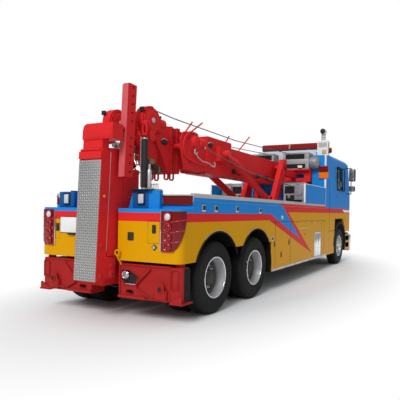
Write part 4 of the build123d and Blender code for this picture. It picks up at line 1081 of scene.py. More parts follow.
for side in sides:
    frames, dark, orange_lamps, clear, seams = shapes(5, side)
    for x, z in blue_lamps:
        frames.box(span(x, 0.045), out_from(-0.001, 0.01), (z - 0.052, z + 0.042), 0.006)
        dark.box(span(x, 0.033), out_from(0.009, 0.016), span(z, 0.03), 0.005)
    for x, z in dot_lamps:
        frames.disc((x, side_y, z), outward, 0.026, 0.006)
        dark.disc((x, side_y + 0.005, z), outward, 0.019, 0.007)
    for x, z in latches:
        latch(dark, x, z)
    frames.disc((-1.12, side_y, 1.38), outward, 0.042, 0.008, bevel=0.003)
    clear.disc((-1.12, side_y + 0.007, 1.38), outward, 0.033, 0.01, bevel=0.004)
    frames.disc((-1.6, side_y, 0.985), outward, 0.05, 0.01, bevel=0.003)
    dark.disc((-1.6, side_y + 0.009, 0.985), outward, 0.03, 0.006)
    for x in sill_lamp_xs:
        frames.box(span(x, 0.045), out_from(0.01, 0.02), (0.377, 0.408))
        orange_lamps.box(span(x, 0.034), out_from(0.019, 0.028), (0.381, 0.404), 0.004)
    for x in door_lines:
        seams.box(span(x, 0.004), out_from(-0.001, 0.0012), (0.42, 1.29), 0.0)
    seams.box((-1.6, 1.95), out_from(-0.001, 0.0012), (1.292, 1.298), 0.0)
    for low, high, z in level_lines:
        frames.box((low, high), out_from(-0.001, 0.006), span(z, 0.006), 0.002)
    frames.make("side_lamp_frames", alloy)
    dark.make("side_fittings", black_plastic)
    orange_lamps.make("sill_lamps", lens_orange)
    clear.make("side_round_lamp", lens_clear)
    seams.make("locker_seams", shadow_black)
tell()

# %% [markdown]
# ## Trim
# Rubber lips follow the wheel arches, and painted bands and bright strips close the deck's edge. A thin
# bright bar over the top of each arch and white strips along the wings' edges are painted highlights. The
# lips could be cut out of the panel, but a bar along an arc follows the arch and stays round at each point.

# %% Trim along the deck and arches, and painted highlights over the arches and wings
arch_centres = [(x + 0.04, 0.53) for x in (axles["rearmost"], axles["leading"])]
arch_radius = 0.655
arch_meeting = -2.955  # x where the two arches meet
fascia_split = (-1.14, -1.27)  # x of the fascia's colour change at its bottom and its top
for side in sides:
    bright, flares = shapes(2, side)
    for n, (x, z) in enumerate(arch_centres):
        start, end = (-8, 180) if n == 0 else (0, 188)
        run = [(px, side_y + 0.002, pz) for px, pz in arc(start, end, 44, arch_radius, (x, z))
               if pz >= 0.8 and (px <= arch_meeting if n == 0 else px >= arch_meeting)]
        flares.tube(run, 0.013, 8)
        # A thin bright bar just outside the top of each lip is a painted highlight.
        arch_glint = [Vector((x, 0, z)) + (Vector(point) - Vector((x, 0, z))) * Vector((1.021, 1, 1.021))
                 for point in run if point[2] > 1.06]
        bright.tube(arch_glint, 0.0035, 8)
    flares.make("arch_flares", rubber)
    rear_fascia, front_fascia = shapes(2, side)
    rear_fascia.side_plate([(-4.275, 1.602), (-4.275, 1.686), (fascia_split[1], 1.686),
                            (fascia_split[0], 1.602)],
                           out_from(0.0, 0.003), 0.001)
    front_fascia.side_plate([(fascia_split[0] + 0.002, 1.602), (fascia_split[1] + 0.002, 1.686),
                             (1.975, 1.686), (1.975, 1.602)], out_from(0.0, 0.003), 0.001)
    rear_fascia.make("deck_fascia_rear", blue_paint)
    front_fascia.make("deck_fascia_front", red_paint)
    deck_low, deck_high = 1.695, 1.712
    rail_y = out_from(-0.045, 0.01)
    bright.box((-4.275, 0.3), rail_y, (deck_low, deck_high), 0.004)
    bright.make("bright_edges", alloy)
    # White strips along the rear and top edges of the wings and pylons are painted highlights.
    edge_glints = Shape(side)
    edge_glints.box((0.286, 0.3), out_from(-0.035, 0.004), (1.7, 2.135), 0.004)
    edge_glints.box((0.286, 1.976), out_from(-0.034, 0.004), (2.128, 2.142), 0.004)
    edge_glints.box((1.96, 1.976), out_from(-0.045, 0.003), (1.7, 2.38), 0.004)
    edge_glints.box((1.958, 1.976), out_from(-0.045, 0.003), (2.71, 3.0), 0.004)
    edge_glints.make("wing_edges", white_paint)
tell()

# %% [markdown]
# ## Headboard and air intake
# A pale headboard stands between the pylons, and the air intake carries slats, a rain cap, a blank sign and
# a beacon. The slats are thin raised blocks, since an opening behind them would show nothing.

# %% The headboard between the pylons, its beacon and the intake's sign
board = Shape()
board.box((2.3, 2.322), (-0.862, 0.862), (2.66, 3.2), 0.004)
for y in (-0.6, 0.6):
    board.box((2.29, 2.301), span(y, 0.02), (2.68, 3.18))
board.make("headboard", pale_panel)
sign = Shape()
sign.box((2.184, 2.1905), (-1.175, -1.055), (3.055, 3.175))
sign.make("blank_square_sign", gold_sign)
vents = Shape()
for n in range(5):
    z = 3.245 + 0.026 * n
    vents.box((2.1865, 2.1905), (-1.19, -0.95), (z, z + 0.009), 0.001)
    vents.box((2.21, 2.305), (-1.2225, -1.2195), (z, z + 0.009), 0.001)
vents.make("intake_louvres", shadow_black)
cover = Shape()
mouth = (2.2575, -1.07, 3.665)
cover.turned([(0.0, 0.0), (0.062, 0.0), (0.07, 0.008), (0.066, 0.02), (0.04, 0.03), (0.0, 0.034)],
             (mouth[0] - 0.08, mouth[1], mouth[2]), (-1, 0, 0), 40)
for n in range(4):
    cover.turned([(0.052, -0.006), (0.06, -0.006), (0.063, 0.0), (0.06, 0.006), (0.052, 0.006)],
                 (mouth[0], mouth[1], 3.46 + 0.042 * n), (0, 0, 1), 32)
cover.make("intake_mouth", black_plastic)
beacon = Shape()
beacon.disc((2.27, -1.262, 3.1), (0, 0, 1), 0.045, 0.03, bevel=0.006)
beacon.box((2.24, 2.3), (-1.262, -1.218), (3.085, 3.105))
beacon.make("beacon_base", black_plastic)
lamp = Shape()
lamp.turned([(0.0, 0.0), (0.04, 0.0), (0.042, 0.05), (0.034, 0.085), (0.018, 0.1), (0.0, 0.102)],
            (2.27, -1.262, 3.13), (0, 0, 1), 32)
lamp.make("beacon_lens", lens_red)
tell()

# %% [markdown]
# ## The light bar
# A long red bar on the cab's roof has a pale join in its middle, ribbed lenses and dark ends. One rib is
# repeated in a row by a node tree, which is lighter to change than 41 copies made by hand.

# %% Light bar
bar_x, bar_half, bar_low, bar_high = 2.52, 0.83, 3.25, 3.43
rib = Shape().box((-0.004, 0.004), (-0.006, 0.006), (-0.055, 0.055), 0.002).drawn("rib")
for edge, x in (("rear", bar_x - 0.002), ("front", bar_x + 0.172)):
    place = Matrix.Translation((x, -0.8, bar_low + 0.1))
    repeated(f"light_bar_ribs_{edge}", row_tree, {"Part": rib, "Count": 41, "Step": (0, 0.04, 0)},
             lens_bright, "cab", place)
bpy.data.objects.remove(rib)
ends = Shape()
for _ in both(ends):
    ends.box((bar_x - 0.002, bar_x + 0.172), (bar_half - 0.004, bar_half + 0.022),
             (bar_low + 0.004, bar_high - 0.004), 0.02, 3)
ends.box((bar_x - 0.004, bar_x + 0.174), (-0.835, 0.835), (bar_low - 0.006, bar_low + 0.022), 0.004)
ends.make("light_bar_base", black_plastic, "cab")
join = Shape()
join.box((bar_x - 0.006, bar_x + 0.176), (-0.018, 0.018), (bar_low + 0.03, bar_high + 0.004), 0.008, 3)
join.make("light_bar_join", lens_cream, "cab")
feet = Shape()
for _ in both(feet):
    feet.box((bar_x + 0.01, bar_x + 0.16), (0.46, 0.62), (bar_low - 0.045, bar_low - 0.004), 0.006)
feet.box((bar_x + 0.02, bar_x + 0.15), (-0.8, 0.8), (bar_low - 0.02, bar_low - 0.005), 0.004)
feet.make("light_bar_rail", alloy, "cab")
tell()

# %% [markdown]
# ## Tail lamps
# Each rear corner holds four round lamps, one above the other, under ribs that bend round the corner. The
# lenses are turned domes. Each rib is one bar along an arc, so it keeps its roundness through the bend.

# %% Tail lamps
rear_x = -4.569
round_zs = (1.398, 1.265, 1.135, 1.02)
rib_reach = (0.97, 0.85, 0.6, 0.1)
for side in sides:
    rims, reds, clears = shapes(3, side)
    for n, z in enumerate(round_zs):
        face = (rear_x - 0.012, 1.06, z)
        ring = [(0.045, -0.004), (0.055, -0.004), (0.057, 0.004), (0.052, 0.01), (0.045, 0.006)]
        rims.turned(ring, face, (-1, 0, 0), 36)
        dome = [(0.0, 0.018), (0.02, 0.016), (0.036, 0.01), (0.046, 0.0), (0.046, -0.004), (0.0, -0.004)]
        (clears if n == 0 else reds).turned(dome, face, (-1, 0, 0), 36)
        bend = arc(180, 180 - 90 * rib_reach[n], 12, 0.125, (-4.445, 1.135))
        run = [(px, py, z - 0.062 + 0.03 * rib_reach[n] * k / 12) for k, (px, py) in enumerate(bend)]
        start = [(rear_x - 0.001, 0.965, z - 0.066), (rear_x - 0.001, 1.06, z - 0.068)]
        rims.tube(start + run, 0.0055, 8)
    # The lighter red of these ribs and rings is a painted highlight.
    rims.make("tail_lamp_ribs", lens_ribs)
    reds.make("tail_lamps", lens_red)
    clears.make("reversing_lamp", lens_clear)
    surround = Shape(side)
    edge_y = (0.942, 0.952)
    surround.box((rear_x - 0.004, rear_x + 0.016), edge_y, (0.955, 1.475))
    surround.make("tail_lamp_edge", chrome)
tell()

# %% [markdown]
# ## Rear boxes
# The rear boxes carry a blank number plate, small doors with paddle handles, and black frames round the
# reflectors. A shut line could be cut into the panel, but a thin dark strip on the face reads the same and
# leaves the solid whole.

# %% Rear box fittings
plate_y, plate_z = (0.395, 0.835), (1.14, 1.36)
plate = Shape()
plate.box((-4.566, -4.556), plate_y, plate_z, 0.004)
plate.make("number_plate_blank", plate_white)
holder = Shape()
holder.box((-4.562, -4.5545), (plate_y[0] - 0.008, plate_y[1] + 0.008),
           (plate_z[0] - 0.008, plate_z[1] + 0.008), 0.004)
holder.box((-4.585, -4.554), (0.55, 0.68), (plate_z[0] - 0.03, plate_z[0] - 0.009), 0.005)
holder.make("number_plate_holder", black_plastic)


def rear_door(shape, seam, y, z, handle_y, handle_z):
    """A shut line round a small door and its paddle handle, on the rear face."""
    width = 0.003
    x = (-4.5562, -4.5545)
    for low, high in ((y[0], y[0] + width), (y[1] - width, y[1])):
        seam.box(x, (low, high), z, 0.0)
    for low, high in ((z[0], z[0] + width), (z[1] - width, z[1])):
        seam.box(x, y, (low, high), 0.0)
    shape.box((-4.562, -4.554), span(handle_y, 0.03), span(handle_z, 0.055),
              0.006)
    shape.box((-4.575, -4.56), span(handle_y, 0.014), (handle_z - 0.045, handle_z + 0.02),
              0.005)


handles, door_seams = Shape(), Shape()
rear_door(handles, door_seams, (-0.925, -0.735), (1.05, 1.345), -0.835, 1.235)
rear_door(handles, door_seams, (0.858, 0.938), (1.05, 1.375), 0.898, 1.215)
handles.box((-4.566, -4.554), (-0.505, -0.405), (1.075, 1.185), 0.006)
for n in range(3):
    handles.box((-4.57, -4.56), (-0.495, -0.415), (1.088 + 0.032 * n, 1.108 + 0.032 * n))
diamond = [(-0.89, 1.0), (-0.845, 1.045), (-0.8, 1.0), (-0.845, 0.955)]
handles.rear_plate(diamond, (-4.565, -4.554), 0.004)
handles.make("rear_box_handles", black_plastic)
door_seams.make("rear_box_seams", shadow_black)
lock = Shape()
lock.disc((-4.565, -0.845, 1.0), (-1, 0, 0), 0.022, 0.01, bevel=0.003)
lock.make("rear_box_lock", alloy)

frame_shape = Shape()
for _ in both(frame_shape):
    for z in ((1.552, 1.562), (1.668, 1.678)):
        frame_shape.box((-4.296, -4.2755), (0.757, 1.24), z, 0.003)
frame_shape.make("rear_reflector_frames", black_plastic)
tell()

# %% [markdown]
# ## The underlift
# The folded underlift stands upright at the tail and leans a little forward. Its pieces are drawn upright
# in the stinger's own frame, and one matrix then leans them all. The tread plate on its back is a sheet
# with raised bars that a node tree lays left and right by turns: real relief, since it is seen from near.

# %% Tread plate and fittings on the stinger
lean = radians(2.7)
lean_place = Matrix(
    ((cos(lean), 0, sin(lean), -4.62), (0, 1, 0, 0), (-sin(lean), 0, cos(lean), 0.62), (0, 0, 0, 1))
)
plate_face = -0.2835
sheet = Shape().box((plate_face, plate_face + 0.004), (-0.19, 0.19), (-0.09, 1.492), 0.001)
sheet.moved(lean_place).make("stinger_tread_sheet", tread_sheet, "stinger")


def lozenge(length, width, height):
    """A raised bar of tread plate: six-sided, with its top a little smaller than its foot."""
    shape = Shape()
    foot = [(-length, 0), (-length / 2, -width), (length / 2, -width), (length, 0), (length / 2, width),
            (-length / 2, width)]
    low = [(x, y, 0) for x, y in foot]
    high = [(x * 0.8, y * 0.55, height) for x, y in foot]
    return shape.rings([low, high]).drawn("lozenge")


bar = lozenge(0.0155, 0.0048, 0.0022)
pitch = 0.0345
repeated("stinger_tread_bars", chequer_tree, {"Part": bar, "Columns": 11, "Rows": 46, "Pitch": pitch},
         tread_bars, "stinger", lean_place @ facing((plate_face, 0, 0.701), (-1, 0, 0)))
bpy.data.objects.remove(bar)

bosses, dark_bosses, bright_bits, orange_bits = shapes(4)
for _ in both(bosses, dark_bosses, bright_bits, orange_bits):
    for x, z, radius in ((0.0, 0.0, 0.052), (-0.208, 0.373, 0.034), (-0.015, 0.108, 0.03),
                         (-0.2, -0.02, 0.034)):
        bosses.disc((x, 0.194, z), outward, radius, 0.012, bevel=0.003)
        dark_bosses.disc((x, 0.205, z), outward, radius * 0.42, 0.006, sides=6)
    bright_bits.box((-0.1215, -0.1135), (0.1935, 0.1965), (0.3, 1.615), 0.001)
    dark_bosses.disc((-0.208, 0.194, 1.022), outward, 0.026, 0.004, bevel=0.001)
    orange_bits.disc((-0.208, 0.197, 1.022), outward, 0.021, 0.012, bevel=0.004)
for shape, name, material in (
    (bosses, "stinger_bosses", red_paint), (dark_bosses, "stinger_boss_nuts", black_steel),
    (bright_bits, "stinger_wear_strips", alloy), (orange_bits, "stinger_marker_lamps", lens_orange),
):
    shape.moved(lean_place).make(name, material, "stinger")
tell()

# %% [markdown]
# ## Underlift head and crossbar
# The crossbar folds up beside the stinger and is pierced by a row of pin holes. Each hole of the solid gets a
# dark rim of painted shade, a thin turned ring. A flat painted spot would have no edge to catch the light.

# %% Underlift head and crossbar
strip = Shape()
strip.box((-0.262, -0.078), (0.1745, 0.181), (1.775, 1.905))
for z in (1.8, 1.87):
    strip.disc((-0.17, 0.178, z), (0, 1, 0), 0.012, 0.01, sides=6)
strip.moved(lean_place).make("underlift_head_buffer", black_plastic, "stinger_inner")
cover = Shape()
cover.box((-0.2685, -0.264), (-0.325, 0.085), (1.788, 1.962), 0.002)
for y in (-0.3, 0.06):
    for z in (1.805, 1.945):
        cover.disc((-0.267, y, z), (-1, 0, 0), 0.01, 0.006, sides=6, bevel=0.001)
cover.moved(lean_place).make("underlift_head_cover", red_paint, "stinger_inner")

hole_shade, pins = Shape(), Shape()
bar_foot, first_hole, hole_pitch = 1.3, 0.075, 0.115
for n in range(11):
    z = bar_foot + first_hole + n * hole_pitch
    if abs(z - 1.935) > 0.07:
        for y, way in ((-0.355, -1), (-0.255, 1)):
            ring = [(0.0131, -0.003), (0.0185, -0.003), (0.0185, 0.0012), (0.0131, 0.0008)]
            hole_shade.turned(ring, (0.075, y, z), (0, way, 0), 24)
hole_shade.moved(lean_place).make("crossbar_hole_rims", black_steel, "crossbar")
for way, x in ((1, 0.14), (-1, -0.03)):
    pins.disc((x, -0.305, 1.935), (way, 0, 0), 0.034, 0.01, bevel=0.003)
    pins.disc((x + way * 0.009, -0.305, 1.935), (way, 0, 0), 0.016, 0.008, sides=6)
pins.moved(lean_place).make("crossbar_pin_caps", dark_red_paint, "crossbar")
tell()

# %% [markdown]
# ## Mast
# The mast is a welded column that the underlift climbs. Bolt heads and welded bars on its sides break up the
# flat plates. They are raised blocks, because a bump in the paint would show no edge from the side.

# %% Mast and carriage fittings
mast = Shape()
for _ in both(mast):
    for z in (0.62, 0.95, 1.3, 1.65, 1.98):
        mast.disc((-4.3, 0.2, z), outward, 0.022, 0.01, sides=6)
    mast.box((-4.415, -4.115), (0.199, 0.212), (1.44, 1.475), 0.004)
    mast.side_plate([(-4.41, 1.9), (-4.12, 2.02), (-4.12, 1.98), (-4.41, 1.86)],
                    (0.199, 0.216), 0.003)
mast.make("mast_ribs", red_paint)
tell()

# %% [markdown]
# ## Outriggers
# Each outrigger is a fabricated box with welded ribs, a lamp in a recess, a towing slot and a pivot lug.
# Black plates at the back of the recess and the slot and in the lug's bore are painted shade. A rib is drawn
# from its two ends and its width, the way a welder sets it out, so it needs no outline of its own.

# %% Outrigger ribs, lamps and lugs
beam_face = -4.52
lamp_recess = [(0.28, 0.54), (0.28, 0.679), (0.417, 0.679), (0.57, 0.6), (0.52, 0.473), (0.338, 0.47)]


def flat_bar(shape, start, end, wide, x):
    """A flat bar on the rear face between two (y, z) points."""
    run = Vector((end[0] - start[0], end[1] - start[1]))
    across = Vector((-run.y, run.x)).normalized() * wide / 2
    corners = [(start[0] + across.x, start[1] + across.y), (end[0] + across.x, end[1] + across.y),
               (end[0] - across.x, end[1] - across.y), (start[0] - across.x, start[1] - across.y)]
    shape.rear_plate(corners, x, 0.003)


for side in sides:
    ribs, dark, clear, bright = shapes(4, side)
    out = (beam_face - 0.034, beam_face + 0.001)
    for start, end, wide in (
        ((0.772, 0.712), (0.545, 0.498), 0.018), ((0.545, 0.505), (0.552, 0.432), 0.018),
        ((0.55, 0.44), (0.745, 0.345), 0.016), ((0.76, 0.345), (0.88, 0.358), 0.02),
    ):
        flat_bar(ribs, start, end, wide, out)
    for n, start in enumerate(lamp_recess):
        end = lamp_recess[(n + 1) % len(lamp_recess)]
        flat_bar(ribs, start, end, 0.013, (beam_face - 0.012, beam_face + 0.001))
    ribs.box((beam_face - 0.014, beam_face + 0.001), (0.242, 1.06), (0.738, 0.76), 0.004)
    ribs.box((beam_face - 0.036, beam_face + 0.001), (0.242, 0.7), (0.302, 0.338), 0.006)
    ribs.box((beam_face - 0.016, beam_face + 0.001), (0.242, 0.262), (0.34, 0.738), 0.004)
    lug = [(0.862, 0.33), (0.885, 0.49), (0.902, 0.53), (0.935, 0.552), (0.975, 0.552), (1.007, 0.525),
           (1.045, 0.33)]
    ribs.rear_plate(lug, (beam_face - 0.054, beam_face - 0.038), 0.005)
    for y in (0.868, 1.036):
        ribs.box((beam_face - 0.045, beam_face + 0.001), span(y, 0.008),
                 (0.322, 0.455), 0.004)
    ribs.turned([(0.03, 0.0), (0.044, 0.0), (0.048, 0.004), (0.048, 0.012), (0.03, 0.014)],
                (beam_face - 0.054, 0.955, 0.47), (-1, 0, 0), 36)
    slot_rim = [(beam_face - 0.004, y + (0.037 if k < 7 or k > 18 else -0.037), z)
                for k, (y, z) in enumerate(circle_of(24, 0.031, (0.422, 0.385)))]
    ribs.tube(slot_rim, 0.005, 8, closed=True)
    ribs.make("outrigger_ribs", outrigger_paint)
    # Painted shade: a black disc in the lug's bore, and black plates at the back of the lamp recess and the
    # towing slot.
    dark.disc((beam_face - 0.062, 0.955, 0.47), (-1, 0, 0), 0.029, 0.01)
    dark.rear_plate(lamp_recess, (beam_face + 0.03, beam_face + 0.044), 0.0)
    dark.box((beam_face + 0.052, beam_face + 0.058), (0.36, 0.484), (0.358, 0.412), 0.0)
    dark.make("outrigger_dark", shadow_black)
    bright.box((beam_face - 0.008, beam_face + 0.02), (0.345, 0.515), (0.484, 0.496))
    ring = [(0.046, -0.006), (0.056, -0.006), (0.058, 0.004), (0.054, 0.012), (0.046, 0.008)]
    lamp_centre = (beam_face + 0.01, 0.341, 0.604)
    bright.turned(ring, lamp_centre, (-1, 0, 0), 40)
    bright.make("outrigger_bright", chrome)
    clear.turned([(0.0, 0.018), (0.024, 0.015), (0.038, 0.009), (0.047, 0.0), (0.047, -0.004), (0.0, -0.004)],
                 lamp_centre, (-1, 0, 0), 40)
    clear.make("outrigger_lamps", lamp_glass)
# A black sheet behind the gap between each outrigger and rear box is painted shade.
shade_sheet = Shape()
for _ in both(shade_sheet):
    shade_sheet.box((-4.268, -4.258), (0.365, 1.04), (0.6, 0.93))
shade_sheet.make("rear_apron", rubber)
tell()

# %% [markdown]
# ## Jack boxes
# Each jack slides down out of the outrigger. Its box has a welded frame and a toe plate, and a black sheet on
# its outer side is painted shade. These pieces ride on the leg's body, so that they go down with it.

# %% Jack boxes
face = -4.515
for side in sides:
    jack, side_shade = shapes(2, side)
    for start, end in (((1.094, 0.48), (1.094, 0.69)), ((1.094, 0.69), (1.112, 0.716)),
                       ((1.112, 0.716), (1.19, 0.722)), ((1.19, 0.722), (1.205, 0.69)),
                       ((1.205, 0.69), (1.205, 0.48)), ((1.205, 0.48), (1.094, 0.462))):
        flat_bar(jack, start, end, 0.012, (face - 0.014, face + 0.004))
    jack.box((face - 0.006, face + 0.004), (1.112, 1.188), (0.495, 0.695), 0.004)
    toe = [(1.085, 0.3), (1.085, 0.315), (1.15, 0.35), (1.235, 0.4), (1.262, 0.385), (1.262, 0.3)]
    jack.rear_plate(toe, (-4.538, -4.522), 0.004)
    jack.make("jack_frame", outrigger_paint, f"outrigger_leg_{side}")
    # Painted shade: a black sheet on the jack box's outer side.
    side_shade.box((-4.46, -4.33), (1.2452, 1.2495), (0.315, 0.742), 0.0015)
    side_shade.make("jack_side_pad", rubber, f"outrigger_leg_{side}")
tell()

# %% [markdown]
# ## Sheave covers
# Round covers, a guard and an oval hanging ring close each sheave head. The covers are turned, the guard
# is a flat band between two arcs, and the ring is a closed bar, each the way the real piece is made.

# %% Sheave covers and lugs
for side in sides:
    cover = Shape(side)
    barrel = [(0.0, 0.02), (0.06, 0.02), (0.11, 0.018), (0.142, 0.012), (0.156, 0.002), (0.158, -0.006),
              (0.0, -0.006)]
    for cheek in (-1, 1):
        cover.turned(barrel, (sheave_x, rope_y + cheek * 0.074, sheave_z), (0, cheek, 0), 56)
    middle = (sheave_x, sheave_z)
    guard_line = arc(78, 264, 12, 0.203, middle) + arc(264, 78, 12, 0.19, middle)
    cover.side_plate(guard_line, span(rope_y, 0.07), 0.003)
    oval = [(-4.228, 0.392 + 0.036 * y, 2.61 + 0.078 * z) for y, z in circle_of(28)]
    cover.tube(oval, 0.015, 10, closed=True)
    cover.box((-4.243, -4.19), (0.345, 0.44), (2.68, 2.735), 0.008)
    ears = [(0.195, 2.735), (0.205, 2.56), (0.255, 2.5), (0.312, 2.52), (0.318, 2.64), (0.29, 2.745)]
    cover.rear_plate(ears, (-4.292, -4.276), 0.004)
    cover.box((-4.28, -4.215), (0.25, 0.268), (2.54, 2.7), 0.004)
    for z in (2.685, 2.58):
        cover.turned([(0.012, 0.0), (0.03, 0.0), (0.032, 0.004), (0.03, 0.012), (0.012, 0.012)],
                     (-4.291, 0.262, z), (-1, 0, 0), 28)
    cover.make("sheave_cover", red_paint, f"sheave_head_{side}")
    block = Shape(side)
    block.box((-4.262, -4.225), (0.32, 0.385), (2.86, 2.925), 0.008)
    block.make("sheave_stop", black_plastic, f"sheave_head_{side}")
tell()

# %% [markdown]
# ## Work lamps, strap and collar bolts
# Oval work lamps look out from the boom's sides, and a strap and two rows of bolts mark the collar of its
# inner section. A lamp is a round dome that one matrix flattens, which is simpler than an oval section.

# %% Lamps, strap and collar bolts on the boom
for side, way in sides.items():
    for name, body, x, z, y in (("head", "boom_inner", -3.6, 2.534, 0.251),
                                ("mid", "boom", -2.21, 2.69, 0.241)):
        shell, glint = shapes(2, side)
        dome = [(0.0, 0.04), (0.03, 0.037), (0.052, 0.026), (0.064, 0.008), (0.064, -0.004), (0.0, -0.004)]
        flat = Matrix.Translation((x, way * y, z)) @ Matrix.Diagonal((1.25, 1.0, 0.72, 1.0))
        shell.turned(dome, (0, 0, 0), outward, 40)
        shell.moved(flat).make(f"boom_lamp_{name}", black_plastic, body)
        # A white bar along each lamp's upper edge is a painted highlight.
        glint.tube([(x + 0.08 * px, y + 0.008, z + 0.047 * pz) for px, pz in arc(20, 160, 12)], 0.006, 8)
        glint.make(f"boom_lamp_rim_{name}", white_paint, body)
strap = Shape()
strap_x = (-3.4, -3.362)
for y in (-0.2535, 0.25):
    strap.box(strap_x, (y, y + 0.0035), (2.077, 2.793), 0.001)
strap.box(strap_x, (-0.2535, 0.2535), (2.79, 2.7935), 0.001)
strap.box(strap_x, (-0.2535, 0.2535), (2.0765, 2.08), 0.001)
strap.make("boom_strap", black_plastic, "boom_inner")

bolt = Shape().disc((0, 0, 0), (0, 0, 1), 0.01, 0.008, sides=6, bevel=0.0015).drawn("collar_bolt")
for n, x in enumerate((-3.435, -3.255)):
    for side, way in sides.items():
        repeated(f"collar_bolts_{n}_{side}", row_tree, {"Part": bolt, "Count": 6, "Step": (0, 0.125, 0)},
                 dark_red_paint, "boom_inner", facing((x, way * 0.275, 2.13), (0, way, 0)))
bpy.data.objects.remove(bolt)
tell()

# %% [markdown]
# ## Chain and hooks
# A short chain with a hook at each end lies along the right hook plate. A node tree sets one link at equal
# steps along a curve and turns every second one by a quarter, as in a real chain.

# %% Chain and hooks on the right hook plate
chain_route = curve_through([(-2.99, -0.447, 2.425), (-2.93, -0.449, 2.365), (-2.8, -0.448, 2.322),
                             (-2.66, -0.447, 2.315), (-2.56, -0.449, 2.3), (-2.47, -0.448, 2.272)], 6)
route = bpy.data.curves.new("chain_route", "CURVE")
route.dimensions = "3D"
spline = route.splines.new("POLY")
spline.points.add(len(chain_route) - 1)
for spot, place in zip(spline.points, chain_route):
    spot.co = (*place, 1.0)
route_object = bpy.data.objects.new("chain_route", route)
scene.collection.objects.link(route_object)
link_path = [(0.009 * x, 0.0, 0.011 * z + (0.007 if 0 < n < 9 else -0.007))
             for n, (x, z) in enumerate(circle_of(16))]
link = Shape().tube(link_path, 0.0042, 6, closed=True).drawn("link")
repeated("hook_chain", chain_tree, {"Path": route_object, "Part": link, "Step": 0.026}, steel_bright,
         "boom_inner")
bpy.data.objects.remove(link)
bpy.data.objects.remove(route_object)
hooks = Shape()
hooks.tube(curve_through([(-3.03, -0.447, 2.5), (-3.046, -0.447, 2.455), (-3.02, -0.447, 2.418),
                          (-2.98, -0.447, 2.42), (-2.962, -0.447, 2.455)], 6), 0.011, 10)
hooks.tube(curve_through([(-2.475, -0.447, 2.285), (-2.43, -0.447, 2.262), (-2.385, -0.447, 2.285),
                          (-2.392, -0.447, 2.33), (-2.425, -0.447, 2.338)], 6), 0.011, 10)
hooks.disc((-3.032, -0.423, 2.505), (0, -1, 0), 0.02, 0.036, bevel=0.003)
hooks.disc((-2.48, -0.423, 2.275), (0, -1, 0), 0.016, 0.034, bevel=0.003)
hooks.make("chain_hooks", steel_bright, "boom_inner")
tell()

# %% [markdown]
# ## Hook plates
# Thick plates on the boom's inner section carry the hooks. Their rolled rim stands out from the plate, which
# a bevel can't do, so a bar is laid along a smooth closed curve.

# %% Hook plate rims and pins
for side in sides:
    rim = Shape(side)
    edge = [(-3.395, 2.615), (-3.312, 2.725), (-2.975, 2.765), (-2.917, 2.7), (-3.045, 2.572),
            (-3.118, 2.49),
            (-3.072, 2.38), (-2.765, 2.277), (-2.4, 2.23), (-2.565, 2.218), (-2.912, 2.158), (-3.288,
                                                                                                 2.169),
            (-3.375, 2.449)]
    dense = curve_through([(x, 0.4255, z) for x, z in edge], 4, closed=True)
    rim.tube(dense, 0.008, 8, closed=True)
    ridge = [(-3.03, 2.75), (-3.16, 2.748), (-3.29, 2.66), (-3.345, 2.543), (-3.335, 2.413), (-3.23, 2.323),
             (-2.99, 2.274), (-2.7, 2.262)]
    rim.tube(curve_through([(x, 0.432, z) for x, z in ridge], 6), 0.021, 12)
    rim.turned([(0.0, 0.085), (0.06, 0.083), (0.085, 0.076), (0.098, 0.06), (0.104, 0.03), (0.13, 0.014),
                (0.14, 0.0), (0.0, 0.0)], (-3.035, 0.424, 2.6), outward, 48)
    rim.turned([(0.0, 0.0), (0.075, 0.0), (0.075, 0.15), (0.05, 0.185), (0.0, 0.185)],
               (-2.98, 0.468, 2.605), Vector((0.96, 0.0, 0.06)), 32)
    for x, z, radius in ((-3.2, 2.66, 0.026), (-3.14, 2.26, 0.03)):
        rim.disc((x, 0.424, z), outward, radius, 0.012, bevel=0.003)
    rim.make("hook_plate_rim", red_paint, "boom_inner")
    nuts = Shape(side)
    for x, z, radius in ((-3.2, 2.66, 0.012), (-3.14, 2.26, 0.013)):
        nuts.disc((x, 0.435, z), outward, radius, 0.01, sides=6)
    nuts.make("hook_plate_nuts", black_steel, "boom_inner")
tell()

# %% [markdown]
# ## Low rope and pipes
# A third rope runs from the deck winch along the boom's right side, and steel pipes bring oil to the boom.
# The pipes are bars along smooth curves through a few points, bent as by a pipe bender.

# %% The low rope and the boom's pipes
low_rope = laid_rope("rope_low_right", [(-2.72, -0.435, 2.56), (-1.2, -0.53, 2.285), (0.8, -0.78, 2.1)])
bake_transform(low_rope)
eye_bolt = Shape()
eye_bolt.disc((-2.72, -0.198, 2.56), (0, -1, 0), 0.03, 0.014, bevel=0.003)
eye_bolt.tube([(-2.72, -0.205, 2.56), (-2.72, -0.445, 2.56)], 0.014, 10)
eye_bolt.disc((-2.72, -0.44, 2.56), (0, -1, 0), 0.024, 0.012, bevel=0.003)
eye_bolt.make("low_rope_anchor", steel_bright, "boom")
pipes = Shape()
for n, y in enumerate((-0.2155, -0.2455)):
    low = 2.205 + 0.03 * n
    pipes.tube(curve_through([(-1.3, y, low + 0.1), (-0.9, y, low + 0.04), (0.0, y, low + 0.06),
                              (0.55, y, low + 0.12)], 6), 0.009, 8)
for x in (-1.25, -0.7, -0.1, 0.45):
    pipes.box(span(x, 0.012), (-0.262, -0.199), (2.225 + 0.02, 2.345))
pipes.make("boom_pipes", black_steel, "boom")
tell()

# %% [markdown]
# ## Rope keeper
# An upright bar at the boom's head keeps the ropes apart. It is a thin bar with a foot and a cap.

